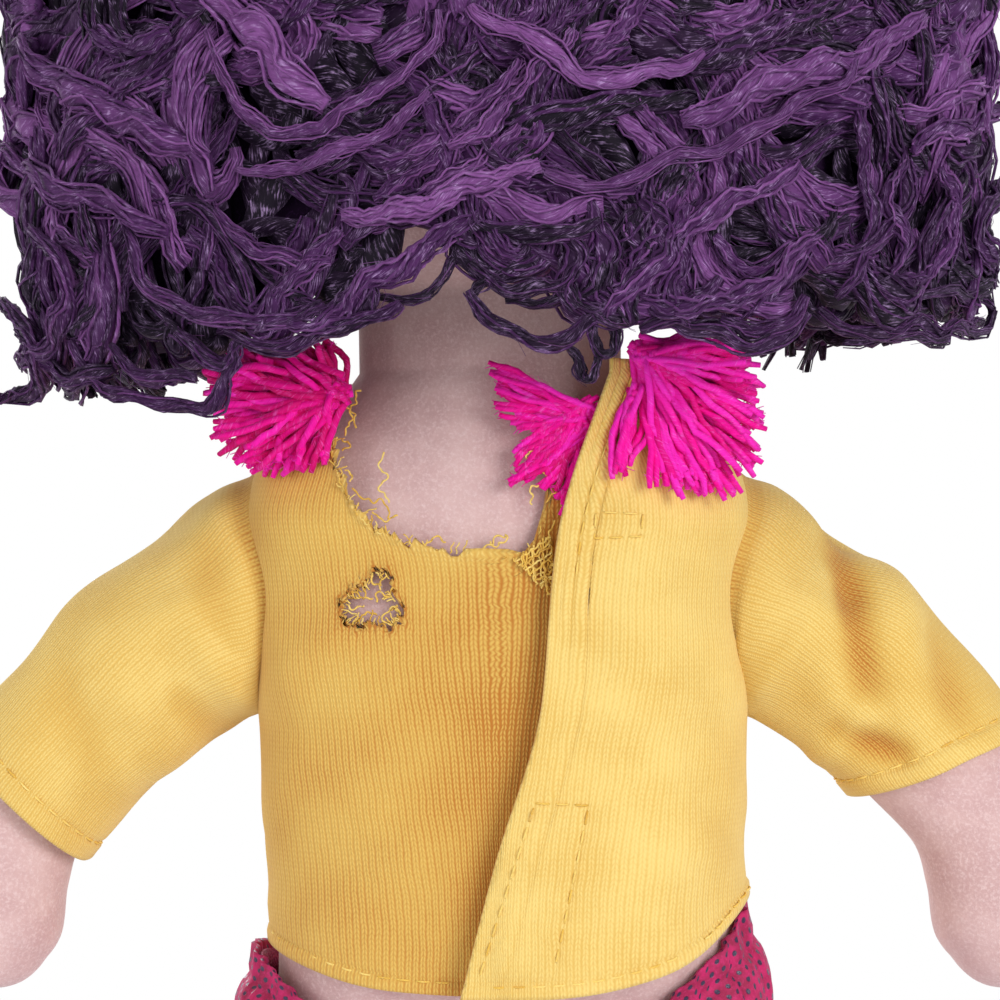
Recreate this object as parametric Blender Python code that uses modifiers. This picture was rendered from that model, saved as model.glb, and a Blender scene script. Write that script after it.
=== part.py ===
"""A cloth rag doll: stuffed body, head and limbs, yarn wig, jersey shirt that closes at the back, trousers and soft shoes.

Metres, +Z up. The doll stands on its soles at z = 0, its face towards -Y and its left side towards +X.
"""

import math

import bmesh
import bpy
import numpy as np
from mathutils import Vector

COLLECTION = "rag_doll"

# Joint places
HIP_Z = 0.116
SHOULDER_Z = 0.186
NECK_JOINT_Z = 0.214

# Cloth and clearances
SKIN = 0.0008  # velour of the body
JERSEY = 0.0007
TROUSER_CLOTH = 0.0008
TAPE = 0.0006  # hook tape and loop tape
CAP_CLOTH = 0.001
LAY = 0.0003  # between two pieces that lie on each other
EASE = 0.0007  # between the skin and what it wears
FILL_GAP = 0.0005  # between a skin and its stuffing
SEAM = 0.0005  # between two panels sewn edge to edge

# Body: level sections from the crotch seam up to the neck
BODY_SEAM_Z = HIP_Z + 0.0042
LAP_Z = 0.128
PELVIS_Z = 0.1325
HEM_LINE_Z = 0.138
WAIST_Z = 0.150
RIB_Z = 0.166
CHEST_Z = 0.182
YOKE_Z = 0.194
SHOULDER_TOP_Z = 0.201
SHOULDER_SLOPE_Z = 0.207
CHEST_HALF_WIDTH = 0.0297
CHEST_HALF_DEPTH = 0.0186
NECK_HALF_WIDTH = 0.0165
NECK_HALF_DEPTH = 0.0145
BODY_HEIGHTS = (
    BODY_SEAM_Z, LAP_Z, PELVIS_Z, HEM_LINE_Z, WAIST_Z, RIB_Z, CHEST_Z, YOKE_Z, SHOULDER_TOP_Z, SHOULDER_SLOPE_Z, NECK_JOINT_Z,
)
BODY_WIDTH_SHARES = (0.85, 0.97, 1.02, 1.02, 0.975, 0.985, 1.0, 0.995, 0.90, 0.72)
BODY_DEPTH_SHARES = (0.05, 0.52, 0.80, 1.0, 1.02, 1.03, 1.0, 0.97, 0.89, 0.82)
BODY_SQUARENESS = (4.0, 2.6, 2.4, 2.3, 2.5, 3.0, 3.5, 3.4, 3.0, 2.5, 2.0)

# Head
HEAD_Z = 0.262
HEAD_HALF_WIDTH = 0.038
HEAD_HALF_DEPTH = 0.031
HEAD_HALF_HEIGHT = 0.042
NECK_TOP_Z = 0.2205
HEAD_LEVEL_SHARES = (-0.84, -0.68, -0.42, -0.1, 0.2, 0.48, 0.72, 0.88, 0.965, 0.995)

# Face: eyes, nose and mouth are stitched on
EYE_Z = 0.2575
EYE_OUT = 0.0135
EYE_HALF_WIDTH = 0.0036
EYE_HALF_HEIGHT = 0.0046
NOSE_Z = 0.2485
NOSE_HALF_WIDTH = 0.0022
STITCH_THICKNESS = 0.0009
MOUTH_Z = 0.2405
MOUTH_HALF_WIDTH = 0.0075
MOUTH_SAG = 0.0024
MOUTH_THREAD_RADIUS = 0.0006

# Shirt
COLLAR_Z = 0.2155
COLLAR_EASE_X = 0.0055
COLLAR_EASE_Y = 0.0017
COLLAR_SQUARENESS = 1.0  # added to the body's own at the collar
SHIRT_HANG_Z = 0.145  # below this the jersey hangs straight
HEM_BACK_Z = 0.1355
HEM_LEFT_Z = 0.1405
HEM_RIGHT_Z = 0.1465
ARMHOLE_RADIUS = 0.0143
FRONT_NECK_Z = 0.2045
NECK_SIDE_Z = 0.213
TORN_NECK_LOW_Z = 0.1905
# The torn neckline's outline: its places as shares of the half turn round the back, its heights of the way up to the collar
TORN_NECK_TURN_SHARES = (0.0, 0.11, 0.19, 0.267, 0.311, 0.378, 0.417, 0.46, 0.505, 0.53, 0.56, 0.72)
TORN_NECK_HEIGHT_SHARES = (0.96, 0.95, 0.87, 0.64, 0.45, 0.245, 0.145, 0.06, 0.0, 0.13, 0.30, 0.36)
# The worn hole in the underlap: its middle, its size and its ragged outline
HOLE_X = 0.0157
HOLE_Z = 0.1846
HOLE_RADIUS = 0.0036
HOLE_RAGGED_SHARES = (1.0, 0.78, 0.62, 0.95, 1.05, 0.72, 0.85, 1.08, 0.9, 0.66, 0.88, 1.06)
HOLE_CUT_DEPTH = 0.03

# Back flap: it turns about a straight line from the collar down to the hem, on the doll's right
FLAP_HINGE_TOP_X = -0.0168
FLAP_HINGE_HEM_X = -0.0205
FLAP_RISE = 0.0032  # how far from its hinge line the flap has climbed over the tapes
FLAP_EDGE_HEIGHT_SHARES = (0.0, 0.21, 0.46, 0.70, 0.975)
FLAP_EDGE_X_SHARES = (0.15, 0.015, -0.175, -0.25, -0.45)  # of the chest's half width
UNDERLAP_SHORT = 0.0037  # the underlap ends this far before the hinge line

# Hook-and-loop tapes under the flap's free edge
TAPE_WIDTH = 0.0056
TAPE_INSET = 0.0012
UPPER_TAPE_LOW_Z = 0.187
UPPER_TAPE_TOP_Z = 0.199
LOWER_TAPE_LOW_Z = 0.1385
LOWER_TAPE_TOP_Z = 0.1605

# Yarn tufts at the neckline: half height and half depth at the open end
TUFT_ROOT_RADIUS = 0.0016
TUFT_LEFT_X = 0.0195
TUFT_LEFT_Z = 0.2085
TUFT_LEFT_REACH = (0.0165, 0.0015, 0.0005)
TUFT_LEFT_HALF_HEIGHT = 0.0072
TUFT_RIGHT_X = -0.0185
TUFT_RIGHT_Z = 0.2115
TUFT_RIGHT_REACH = (-0.0125, 0.001, -0.0065)
TUFT_RIGHT_HALF_HEIGHT = 0.0085
TUFT_HALF_DEPTH = 0.0026
TUFT_LEFT_LIFT = 0.0013  # of its root over the cloth
TUFT_RIGHT_LIFT = 0.0022
TUFT_UNDER_START = (-0.0095, 0.2055)
TUFT_UNDER_END = (0.0005, 0.2065)
TUFT_UNDER_HALF_HEIGHT = 0.0065
TUFT_UNDER_HALF_DEPTH = 0.0007
TUFT_FLUTES = 7
TUFT_FLUTE_SHARE = 0.12
TUFT_ROW_SHARES = ((0.0, 0.0), (0.25, 0.42), (0.55, 0.78), (0.85, 1.0), (1.0, 0.86))  # way out, growth

# Arm: a path from the armhole down and out to the mitten hand
ARM_ROOT_X = 0.0323
ARM_REACH = 0.0430
ARM_FALL = 0.049
HAND_HALF_WIDTH = 0.0128
ARM_HALF_DEPTH = 0.0115
SLEEVE_HALF_HEIGHT = 0.0150
SLEEVE_HALF_DEPTH = 0.0138
SLEEVE_ROWS = 4  # the sleeve ends at this row of the arm
ARM_DROP_DEGREES = (0.0, 24.0, 42.0, 44.0, 46.0, 52.0, 55.0, 55.0, 55.0)
ARM_REACH_SHARES = (0.0, 0.149, 0.355, 0.538, 0.670, 0.762, 0.835, 0.918, 1.0)
ARM_FALL_SHARES = (0.0, 0.071, 0.235, 0.398, 0.535, 0.661, 0.796, 0.906, 1.0)
ARM_WIDTH_SHARES = (0.95, 0.92, 0.86, 0.79, 0.75, 0.87, 1.0, 0.88, 0.36)
ARM_DEPTH_SHARES = (1.0, 0.97, 0.92, 0.87, 0.80, 0.87, 0.92, 0.81, 0.32)
SLEEVE_HEIGHT_SHARES = (1.0, 0.92, 0.84, 0.79, 0.78)
SLEEVE_DEPTH_SHARES = (0.98, 0.95, 0.90, 0.87, 0.86)

# Legs and trousers
LEG_X = 0.0165
LEG_RADIUS = 0.0118
LEG_TOP_DROP = 0.004  # the leg's skin starts this far under the hip seam
LEG_HEIGHT_SHARES = (1.0, 0.80, 0.55, 0.28, 0.215)  # of the way up to its top
LEG_WIDTH_SHARES = (1.06, 1.04, 0.97, 0.86, 0.80)
LEG_DEPTH_SHARES = (0.21, 1.02, 1.0, 0.88, 0.82)
LEG_SQUARENESS = (5.0, 2.3, 2.0, 2.0, 2.0)
TROUSER_LEG_HALF_WIDTH = 0.0142
TROUSER_SEAM_RADIUS = 0.0013  # half the thickness of the flat top seam
TROUSER_HEM_Z = 0.030
TROUSER_HEIGHT_SHARES = (1.0, 0.975, 0.875, 0.73, 0.40, 0.0)  # of the way up to the hip seam
TROUSER_WIDTH_SHARES = (0.955, 0.975, 1.0, 1.0, 0.955, 1.0)
TROUSER_DEPTH_SHARES = (0.09, 0.14, 0.50, 0.95, 0.955, 1.0)
TROUSER_SQUARENESS = (6.0, 5.0, 3.0, 2.2, 2.0, 2.0)

# Seat of the trousers, over the body's lower end
SEAT_BOTTOM_Z = HIP_Z + 0.0021
SEAT_BOTTOM_HALF_DEPTH = 0.0009
SEAT_EASE = 0.0009  # at its bottom
SEAT_FULLNESS = 0.0032  # more at the gathered waist
WAIST_BACK_Z = 0.126
WAIST_FRONT_Z = 0.1335
WAIST_LEFT_Z = 0.1395
WAIST_RIGHT_Z = 0.1452
ELASTIC_HEIGHT = 0.003
ELASTIC_THICKNESS = 0.0006
GATHERS = 14
GATHER_DEPTH = 0.0006

# Shoe and the foot inside it: level outlines, the toe towards -Y
SHOE_BOTTOM_Z = 0.0033
SHOE_TOP_Z = 0.028
SHOE_HALF_WIDTH = 0.0120
SHOE_HALF_LENGTH = 0.0246
SHOE_WALL = 0.0012
SHOE_FORWARD = 0.0082
SOLE_THICKNESS = 0.003
SOLE_WELT = 0.0008
SHOE_HEIGHT_SHARES = (0.0, 0.18, 0.38, 0.60, 0.84, 1.0)
SHOE_WIDTH_SHARES = (0.96, 1.0, 0.98, 0.94, 0.93, 0.95)
SHOE_LENGTH_SHARES = (0.985, 1.0, 0.90, 0.67, 0.50, 0.50)
SHOE_FORWARD_SHARES = (1.0, 1.0, 0.76, 0.34, 0.03, 0.0)
SHOE_SQUARENESS = (2.3, 2.2, 2.1, 2.0, 2.0, 2.0)
FOOT_BOTTOM_Z = 0.0052

# Wig: a cap on the head, and locks round it in two tiers and a crown
CAP_TILT = 35.0  # degrees, towards the back
CAP_COVER = 100.0  # degrees from the cap's middle to its edge
CAP_GAP = 0.0009
LOCK_SEAT = 0.0013  # from the cap to the roots of the locks
WIG_HALF_WIDTH = 0.0645
WIG_HALF_DEPTH = 0.0455
WIG_HALF_HEIGHT = 0.0605
WIG_INNER_X = 0.0425  # the hanging locks clear the tufts as the head turns
WIG_INNER_Y = 0.0355
LOCK_GAP = 0.0007
TIER_Z = 0.2648
LOCK_BACK_LOW_Z = 0.2215
LOCK_SIDE_LOW_Z = 0.2095
LOCK_FACE_LOW_Z = 0.216
FRINGE_LOW_Z = 0.281
FRINGE_FULLNESS = 1.0563  # times the wig's half depth
CROWN_DEGREES = 58.0
# The locks hang from one side of the face round the back to the other, in degrees from +X towards +Y
FACE_EDGE_DEGREES = -42.0
HANGING_LOCKS = 8
UPPER_LOCKS = 6
LOCK_WAVE_SHARE = 0.09

# The fewest faces that keep each form round
AROUND = 24
AROUND_LIMB = 14
AROUND_FILL = 10
HALF_TURN = math.pi
NO_LENGTH = 0.0

COLOURS = {
    "skin": (0.62, 0.42, 0.41),
    "stuffing": (0.85, 0.84, 0.80),
    "jersey": (0.91, 0.62, 0.14),
    "tape": (0.88, 0.72, 0.36),
    "yarn_pink": (0.85, 0.02, 0.28),
    "velour": (0.50, 0.01, 0.12),
    "elastic": (0.85, 0.80, 0.78),
    "hair": (0.085, 0.035, 0.115),
    "thread_dark": (0.06, 0.03, 0.05),
    "thread_rose": (0.55, 0.10, 0.14),
    "shoe": (0.75, 0.06, 0.30),
    "sole": (0.80, 0.76, 0.70),
}


def clear_scene():
    for obj in list(bpy.data.objects):
        bpy.data.objects.remove(obj, do_unlink=True)


def new_collection(name):
    made = bpy.data.collections.new(name)
    bpy.context.scene.collection.children.link(made)
    return made


def new_material(name, colour, roughness=0.85):
    made = bpy.data.materials.new(name)
    made.use_nodes = True
    shader = made.node_tree.nodes["Principled BSDF"]
    shader.inputs["Base Color"].default_value = (*colour, 1.0)
    shader.inputs["Roughness"].default_value = roughness
    shader.inputs["Metallic"].default_value = 0.0
    made.diffuse_color = (*colour, 1.0)
    return made


def eased(at, knots, values):
    """A smooth curve through the knots, which never swings past them."""
    knots, values = np.asarray(knots, float), np.asarray(values, float)
    steps = np.diff(knots)
    rises = np.diff(values) / steps
    slopes = np.zeros(len(knots))
    same = rises[:-1] * rises[1:] > 0
    slopes[1:-1][same] = 2 * rises[:-1][same] * rises[1:][same] / (rises[:-1] + rises[1:])[same]
    slopes[0], slopes[-1] = rises[0], rises[-1]
    at = np.clip(at, knots[0], knots[-1])
    i = np.clip(np.searchsorted(knots, at) - 1, 0, len(steps) - 1)
    t = (at - knots[i]) / steps[i]
    start = values[i] * (1 + 2 * t) * (1 - t) ** 2 + slopes[i] * steps[i] * t * (1 - t) ** 2
    return start + values[i + 1] * t * t * (3 - 2 * t) + slopes[i + 1] * steps[i] * t * t * (t - 1)


def smooth_step(share):
    share = np.clip(share, 0.0, 1.0)
    return share * share * (3 - 2 * share)


def oval(half_across, half_deep, squareness, turn):
    """A point on a rounded outline: squareness 2 is an ellipse, more is boxier."""
    across, deep = np.cos(turn), np.sin(turn)
    power = 2 / squareness
    return (
        half_across * np.sign(across) * np.abs(across) ** power,
        half_deep * np.sign(deep) * np.abs(deep) ** power,
    )


def full_turn(count):
    return np.arange(count) / count * 2 * HALF_TURN


def level_rings(heights, half_width, half_depth, squareness, count, centre_x=NO_LENGTH, centre_y=NO_LENGTH):
    """Level outlines, one at each height, as an array of rings of points."""
    turn = full_turn(count)[None, :]
    x, y = oval(half_width[:, None], half_depth[:, None], np.asarray(squareness)[:, None], turn)
    rings = np.empty((len(heights), count, 3))
    rings[:, :, 0] = x + np.broadcast_to(centre_x, len(heights))[:, None]
    rings[:, :, 1] = y + np.broadcast_to(centre_y, len(heights))[:, None]
    rings[:, :, 2] = np.asarray(heights)[:, None]
    return rings


def mesh_object(name, points, faces, material, parent):
    mesh = bpy.data.meshes.new(name)
    origin = np.array(parent.location) if parent else np.zeros(3)
    mesh.from_pydata((np.asarray(points) - origin).tolist(), [], faces)
    mesh.materials.append(material)
    mesh.shade_smooth()
    obj = bpy.data.objects.new(name, mesh)
    bpy.data.collections[COLLECTION].objects.link(obj)
    obj.parent = parent
    return obj


def add_wall(obj, thickness, outward=False):
    shell = obj.modifiers.new("wall", "SOLIDIFY")
    shell.thickness = thickness
    shell.offset = 1.0 if outward else -1.0


def grid_faces(rows, columns, closed):
    faces = []
    for i in range(rows - 1):
        for j in range(columns if closed else columns - 1):
            k = (j + 1) % columns
            faces.append((i * columns + j, i * columns + k, (i + 1) * columns + k, (i + 1) * columns + j))
    return faces


def loft(name, rings, material, parent, close_start=True, close_end=True, wall=None):
    """A skin through rings of points. A wall makes it a shell, open at each end that isn't closed."""
    rows, columns = rings.shape[:2]
    faces = grid_faces(rows, columns, closed=True)
    if close_start:
        faces.append(tuple(range(columns - 1, -1, -1)))
    if close_end:
        faces.append(tuple(range((rows - 1) * columns, rows * columns)))
    obj = mesh_object(name, rings.reshape(-1, 3), faces, material, parent)
    if wall:
        add_wall(obj, wall)
    return obj


def sheet(name, points, material, parent, thickness):
    """A piece of cloth: a grid of points, thickened outwards."""
    rows, columns = points.shape[:2]
    obj = mesh_object(name, points.reshape(-1, 3), grid_faces(rows, columns, closed=False), material, parent)
    add_wall(obj, thickness, outward=True)
    return obj


def empty_at(name, place):
    made = bpy.data.objects.new(name, None)
    made.location = place
    bpy.data.collections[COLLECTION].objects.link(made)
    return made


# Body


def body_section(z):
    """The skin's half width, half depth and squareness at a height."""
    widths = [CHEST_HALF_WIDTH * share for share in BODY_WIDTH_SHARES] + [NECK_HALF_WIDTH]
    depths = [CHEST_HALF_DEPTH * share for share in BODY_DEPTH_SHARES] + [NECK_HALF_DEPTH]
    return (
        eased(z, BODY_HEIGHTS, widths),
        eased(z, BODY_HEIGHTS, depths),
        eased(z, BODY_HEIGHTS, BODY_SQUARENESS),
    )


def between(low, high, count):
    return np.linspace(low, high, count)


def drawn_in(section, z, inset):
    """A section's half sizes drawn in, measured square to the skin also where it slopes."""
    near = [section(z + step) for step in (-inset, NO_LENGTH, inset)]
    width = np.min([values[0] for values in near], axis=0) - inset
    depth = np.min([values[1] for values in near], axis=0) - inset
    return width, depth, near[1][2]


def make_body(materials):
    heights = np.array(BODY_HEIGHTS)
    width, depth, squareness = body_section(heights)
    rings = level_rings(heights, width, depth, squareness, AROUND)
    loft("torso_skin", rings, materials["skin"], None, close_end=False, wall=SKIN)
    inset = SKIN + FILL_GAP
    heights = np.array([LAP_Z, *BODY_HEIGHTS[2:-1], NECK_JOINT_Z - inset])
    width, depth, squareness = drawn_in(body_section, heights, inset)
    rings = level_rings(heights, width, depth, squareness, AROUND)
    loft("torso_stuffing", rings, materials["stuffing"], None)


# Shirt


def shirt_section(z, lift):
    """The jersey's inner face: the body and its ease, with the collar standing off the neck."""
    width, depth, squareness = body_section(np.maximum(z, SHIRT_HANG_Z))
    rise = smooth_step((z - CHEST_Z) / (COLLAR_Z - CHEST_Z))
    return (
        width + EASE + COLLAR_EASE_X * rise + lift,
        depth + EASE + COLLAR_EASE_Y * rise + lift,
        squareness + COLLAR_SQUARENESS * rise,
    )


def shirt_points(turn, z, lift=NO_LENGTH):
    width, depth, squareness = shirt_section(z, lift)
    x, y = oval(width, depth, squareness, turn)
    return np.stack([x, y, np.broadcast_to(z, x.shape)], axis=-1)


def turn_at_x(x, z):
    """Where on the shirt's back a given x lies, as a turn from the doll's left side."""
    width, _, squareness = shirt_section(z, NO_LENGTH)
    share = np.clip(np.abs(x) / width, 0.0, 1.0)
    return np.arccos(np.sign(x) * share ** (squareness / 2))


def side_turn(z):
    """How far the side edge of a panel lies from the side itself: half a seam, and round the armhole."""
    _, depth, squareness = shirt_section(z, NO_LENGTH)
    notch = np.sqrt(np.clip(ARMHOLE_RADIUS**2 - (z - SHOULDER_Z) ** 2, 0.0, None))
    return np.arcsin(np.clip((SEAM / 2 + notch) / depth, 0.0, 1.0) ** (squareness / 2))


def hem_z(turn):
    """The hem: lowest at the middle, rising to each side."""
    side = np.where(np.cos(turn) > 0, HEM_LEFT_Z, HEM_RIGHT_Z)
    return HEM_BACK_Z + (side - HEM_BACK_Z) * np.abs(np.cos(turn)) ** 2.4


def panel(name, left, right, top, material, thickness, columns, rows, parent=None, lift=None, bottom=hem_z):
    """A panel of the shirt. left and right give its side edges as turns at each height, top its upper edge."""
    share_up = np.linspace(0, 1, rows)[:, None]
    share_across = np.linspace(0, 1, columns)[None, :]
    edges = []
    for edge in (left, right):
        turn = edge(np.full(rows, (HEM_BACK_Z + COLLAR_Z) / 2))
        for _ in range(6):
            height = bottom(turn) + (top(turn) - bottom(turn)) * share_up[:, 0]
            turn = edge(height)
        edges.append(turn[:, None])
    turn = edges[0] + (edges[1] - edges[0]) * share_across
    z = bottom(turn) + (top(turn) - bottom(turn)) * share_up
    raised = lift(turn, z) if lift else NO_LENGTH
    return sheet(name, shirt_points(turn, z, raised), material, parent, thickness)


def collar_z(turn):
    """The neckline: crew-shaped in front, level over the shoulders and behind."""
    front = FRONT_NECK_Z + (NECK_SIDE_Z - FRONT_NECK_Z) * np.cos(turn) ** 2
    behind = NECK_SIDE_Z + (COLLAR_Z - NECK_SIDE_Z) * np.abs(np.sin(turn))
    return np.where(np.sin(turn) < 0, front, behind)


def torn_neck_z(turn):
    share = eased(turn / HALF_TURN, TORN_NECK_TURN_SHARES, TORN_NECK_HEIGHT_SHARES)
    return TORN_NECK_LOW_Z + (NECK_SIDE_Z - TORN_NECK_LOW_Z) * share


def hinge_x(z):
    share = (z - HEM_BACK_Z) / (COLLAR_Z - HEM_BACK_Z)
    return FLAP_HINGE_HEM_X + (FLAP_HINGE_TOP_X - FLAP_HINGE_HEM_X) * share


def flap_edge_x(z):
    share = (z - HEM_BACK_Z) / (COLLAR_Z - HEM_BACK_Z)
    return CHEST_HALF_WIDTH * eased(share, FLAP_EDGE_HEIGHT_SHARES, FLAP_EDGE_X_SHARES)


def flap_lift(layers):
    """How far a layer of the closure lies off the shirt: flat at the hinge line, over the tapes beyond it."""

    def lift(turn, z):
        x = shirt_points(turn, z)[..., 0]
        return layers * smooth_step((x - hinge_x(z)) / FLAP_RISE)

    return lift


LOOP_LIFT = JERSEY + LAY
HOOK_LIFT = LOOP_LIFT + TAPE + LAY
FLAP_LIFT = HOOK_LIFT + TAPE + LAY


def flap_hinge_line():
    """The straight line that the flap turns about, its two ends: it lies just outside the shirt all the way."""
    z = between(HEM_BACK_Z, COLLAR_Z, 40)
    x = hinge_x(z)
    y = shirt_points(turn_at_x(x, z), z, JERSEY)[:, 1]
    slope = (y[-1] - y[0]) / (z[-1] - z[0]) / 2
    out = np.max(y - slope * (z - z[0]))
    return (
        Vector((x[0], out, z[0])),
        Vector((x[-1], out + slope * (z[-1] - z[0]), z[-1])),
    )


def make_shirt(materials, flap_axis):
    jersey = materials["jersey"]
    panel(
        "shirt_front",
        lambda z: -HALF_TURN + side_turn(z),
        lambda z: -side_turn(z),
        collar_z,
        jersey,
        JERSEY,
        columns=15,
        rows=17,
    )
    underlap = panel(
        "shirt_back_left",
        lambda z: side_turn(z),
        lambda z: turn_at_x(hinge_x(z) + UNDERLAP_SHORT, z),
        torn_neck_z,
        jersey,
        JERSEY,
        columns=17,
        rows=15,
    )
    cut_hole(underlap)
    panel(
        "shirt_back_right",
        lambda z: turn_at_x(hinge_x(z) - SEAM / 2, z),
        lambda z: HALF_TURN - side_turn(z),
        collar_z,
        jersey,
        JERSEY,
        columns=6,
        rows=16,
    )
    panel(
        "back_flap",
        lambda z: turn_at_x(flap_edge_x(z), z),
        lambda z: turn_at_x(hinge_x(z) + SEAM / 2, z),
        collar_z,
        jersey,
        JERSEY,
        columns=12,
        rows=17,
        parent=flap_axis,
        lift=flap_lift(FLAP_LIFT),
    )


def cut_hole(underlap):
    """A ragged hole worn through the underlap."""
    count = len(HOLE_RAGGED_SHARES)
    turn = full_turn(count)
    radius = HOLE_RADIUS * np.array(HOLE_RAGGED_SHARES)
    rings = np.zeros((2, count, 3))
    rings[:, :, 0] = HOLE_X + radius * np.cos(turn)
    rings[:, :, 2] = HOLE_Z + radius * np.sin(turn)
    rings[1, :, 1] = HOLE_CUT_DEPTH
    mesh = bpy.data.meshes.new("hole_cutter")
    faces = [tuple(range(count)), tuple(range(2 * count - 1, count - 1, -1))]
    for i in range(count):
        j = (i + 1) % count
        faces.append((j, i, i + count, j + count))
    mesh.from_pydata(rings.reshape(-1, 3).tolist(), [], faces)
    work = bmesh.new()
    work.from_mesh(mesh)
    bmesh.ops.recalc_face_normals(work, faces=work.faces)
    work.to_mesh(mesh)
    work.free()
    cutter = bpy.data.objects.new("hole_cutter", mesh)
    bpy.data.collections["cutters"].objects.link(cutter)
    cutter.hide_render = True
    cutter.display_type = "WIRE"
    cut = underlap.modifiers.new("hole", "BOOLEAN")
    cut.operation = "DIFFERENCE"
    cut.object = cutter


def tape_inner_turn(z):
    """A tape's edge away from the flap's free edge, still on the underlap."""
    return turn_at_x(np.maximum(flap_edge_x(z) - TAPE_INSET - TAPE_WIDTH, hinge_x(z) + UNDERLAP_SHORT + LAY), z)


def make_tapes(materials, flap_axis):
    """Two pairs of hook-and-loop tape, loops on the underlap and hooks on the flap."""
    for level, low, top in (
        ("upper", UPPER_TAPE_LOW_Z, UPPER_TAPE_TOP_Z),
        ("lower", LOWER_TAPE_LOW_Z, LOWER_TAPE_TOP_Z),
    ):
        for kind, lift, parent in (("loop", LOOP_LIFT, None), ("hook", HOOK_LIFT, flap_axis)):
            panel(
                f"{kind}_tape_{level}",
                lambda z: turn_at_x(flap_edge_x(z) - TAPE_INSET, z),
                tape_inner_turn,
                lambda turn, top=top: np.full(np.shape(turn), top),
                materials["tape"],
                TAPE,
                columns=4,
                rows=5,
                parent=parent,
                lift=lambda turn, z, lift=lift: lift,
                bottom=lambda turn, low=low: np.full(np.shape(turn), low),
            )


# Yarn tufts


def tuft(name, root, tip, half_height, half_depth, root_depth, material, out=Vector((0, 1, 0))):
    """A bunch of yarn that fans out from a tied root, fluted by its strands."""
    root, tip = np.array(root), np.array(tip)
    way = (tip - root) / np.linalg.norm(tip - root)
    deep = np.array(out) - np.dot(out, way) * way
    deep = deep / np.linalg.norm(deep)
    across = np.cross(deep, way)
    turn = full_turn(TUFT_FLUTES * 2)
    flute = 1 + TUFT_FLUTE_SHARE * np.cos(TUFT_FLUTES * turn)
    rings = []
    for share, growth in TUFT_ROW_SHARES:
        tall = TUFT_ROOT_RADIUS + (half_height - TUFT_ROOT_RADIUS) * growth
        thick = root_depth + (half_depth - root_depth) * growth
        middle = root + (tip - root) * share
        rings.append(
            middle
            + np.outer(np.cos(turn) * tall * flute, across)
            + np.outer(np.sin(turn) * thick, deep)
        )
    return loft(name, np.array(rings), material, None)


def shirt_spot(x, z, lift):
    """A place on the outside of the shirt's back."""
    height = np.array(z)
    turn = turn_at_x(np.array(x), height)
    return Vector(shirt_points(turn, height, JERSEY + lift))


def make_tufts(materials):
    pink = materials["yarn_pink"]
    for name, x, z, lift, reach, half_height in (
        ("tassel_left", TUFT_LEFT_X, TUFT_LEFT_Z, TUFT_LEFT_LIFT, TUFT_LEFT_REACH, TUFT_LEFT_HALF_HEIGHT),
        ("tassel_right", TUFT_RIGHT_X, TUFT_RIGHT_Z, TUFT_RIGHT_LIFT, TUFT_RIGHT_REACH, TUFT_RIGHT_HALF_HEIGHT),
    ):
        root = shirt_spot(x, z, lift)
        tuft(name, root, root + Vector(reach), half_height, TUFT_HALF_DEPTH, TUFT_ROOT_RADIUS, pink)
    ends = []
    for x, z in (TUFT_UNDER_START, TUFT_UNDER_END):
        width, depth, squareness = body_section(np.array(z - TUFT_UNDER_HALF_HEIGHT / 2))
        y = depth * (1 - (abs(x) / width) ** squareness) ** (1 / squareness)
        ends.append(Vector((x, y + LAY + TUFT_UNDER_HALF_DEPTH * 1.6, z)))
    tuft("tassel_under", ends[0], ends[1], TUFT_UNDER_HALF_HEIGHT, TUFT_UNDER_HALF_DEPTH, TUFT_UNDER_HALF_DEPTH, pink)


# Arms


def arm_rings(stations, half_across, half_deep, count, side):
    """Rings along the arm's path. Stations count its rows; each ring lies square to the way down the arm."""
    rows = np.arange(len(ARM_REACH_SHARES))
    x = ARM_ROOT_X + ARM_REACH * eased(stations, rows, ARM_REACH_SHARES)
    z = SHOULDER_Z - ARM_FALL * eased(stations, rows, ARM_FALL_SHARES)
    drop = np.radians(eased(stations, rows, ARM_DROP_DEGREES))
    turn = full_turn(count)[None, :]
    across, deep = oval(half_across[:, None], half_deep[:, None], 2.2, turn)
    rings = np.empty((len(stations), count, 3))
    rings[:, :, 0] = side * (x[:, None] - across * np.sin(drop)[:, None])
    rings[:, :, 1] = deep
    rings[:, :, 2] = z[:, None] - across * np.cos(drop)[:, None]
    return rings[:, ::-1] if side < 0 else rings


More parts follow.
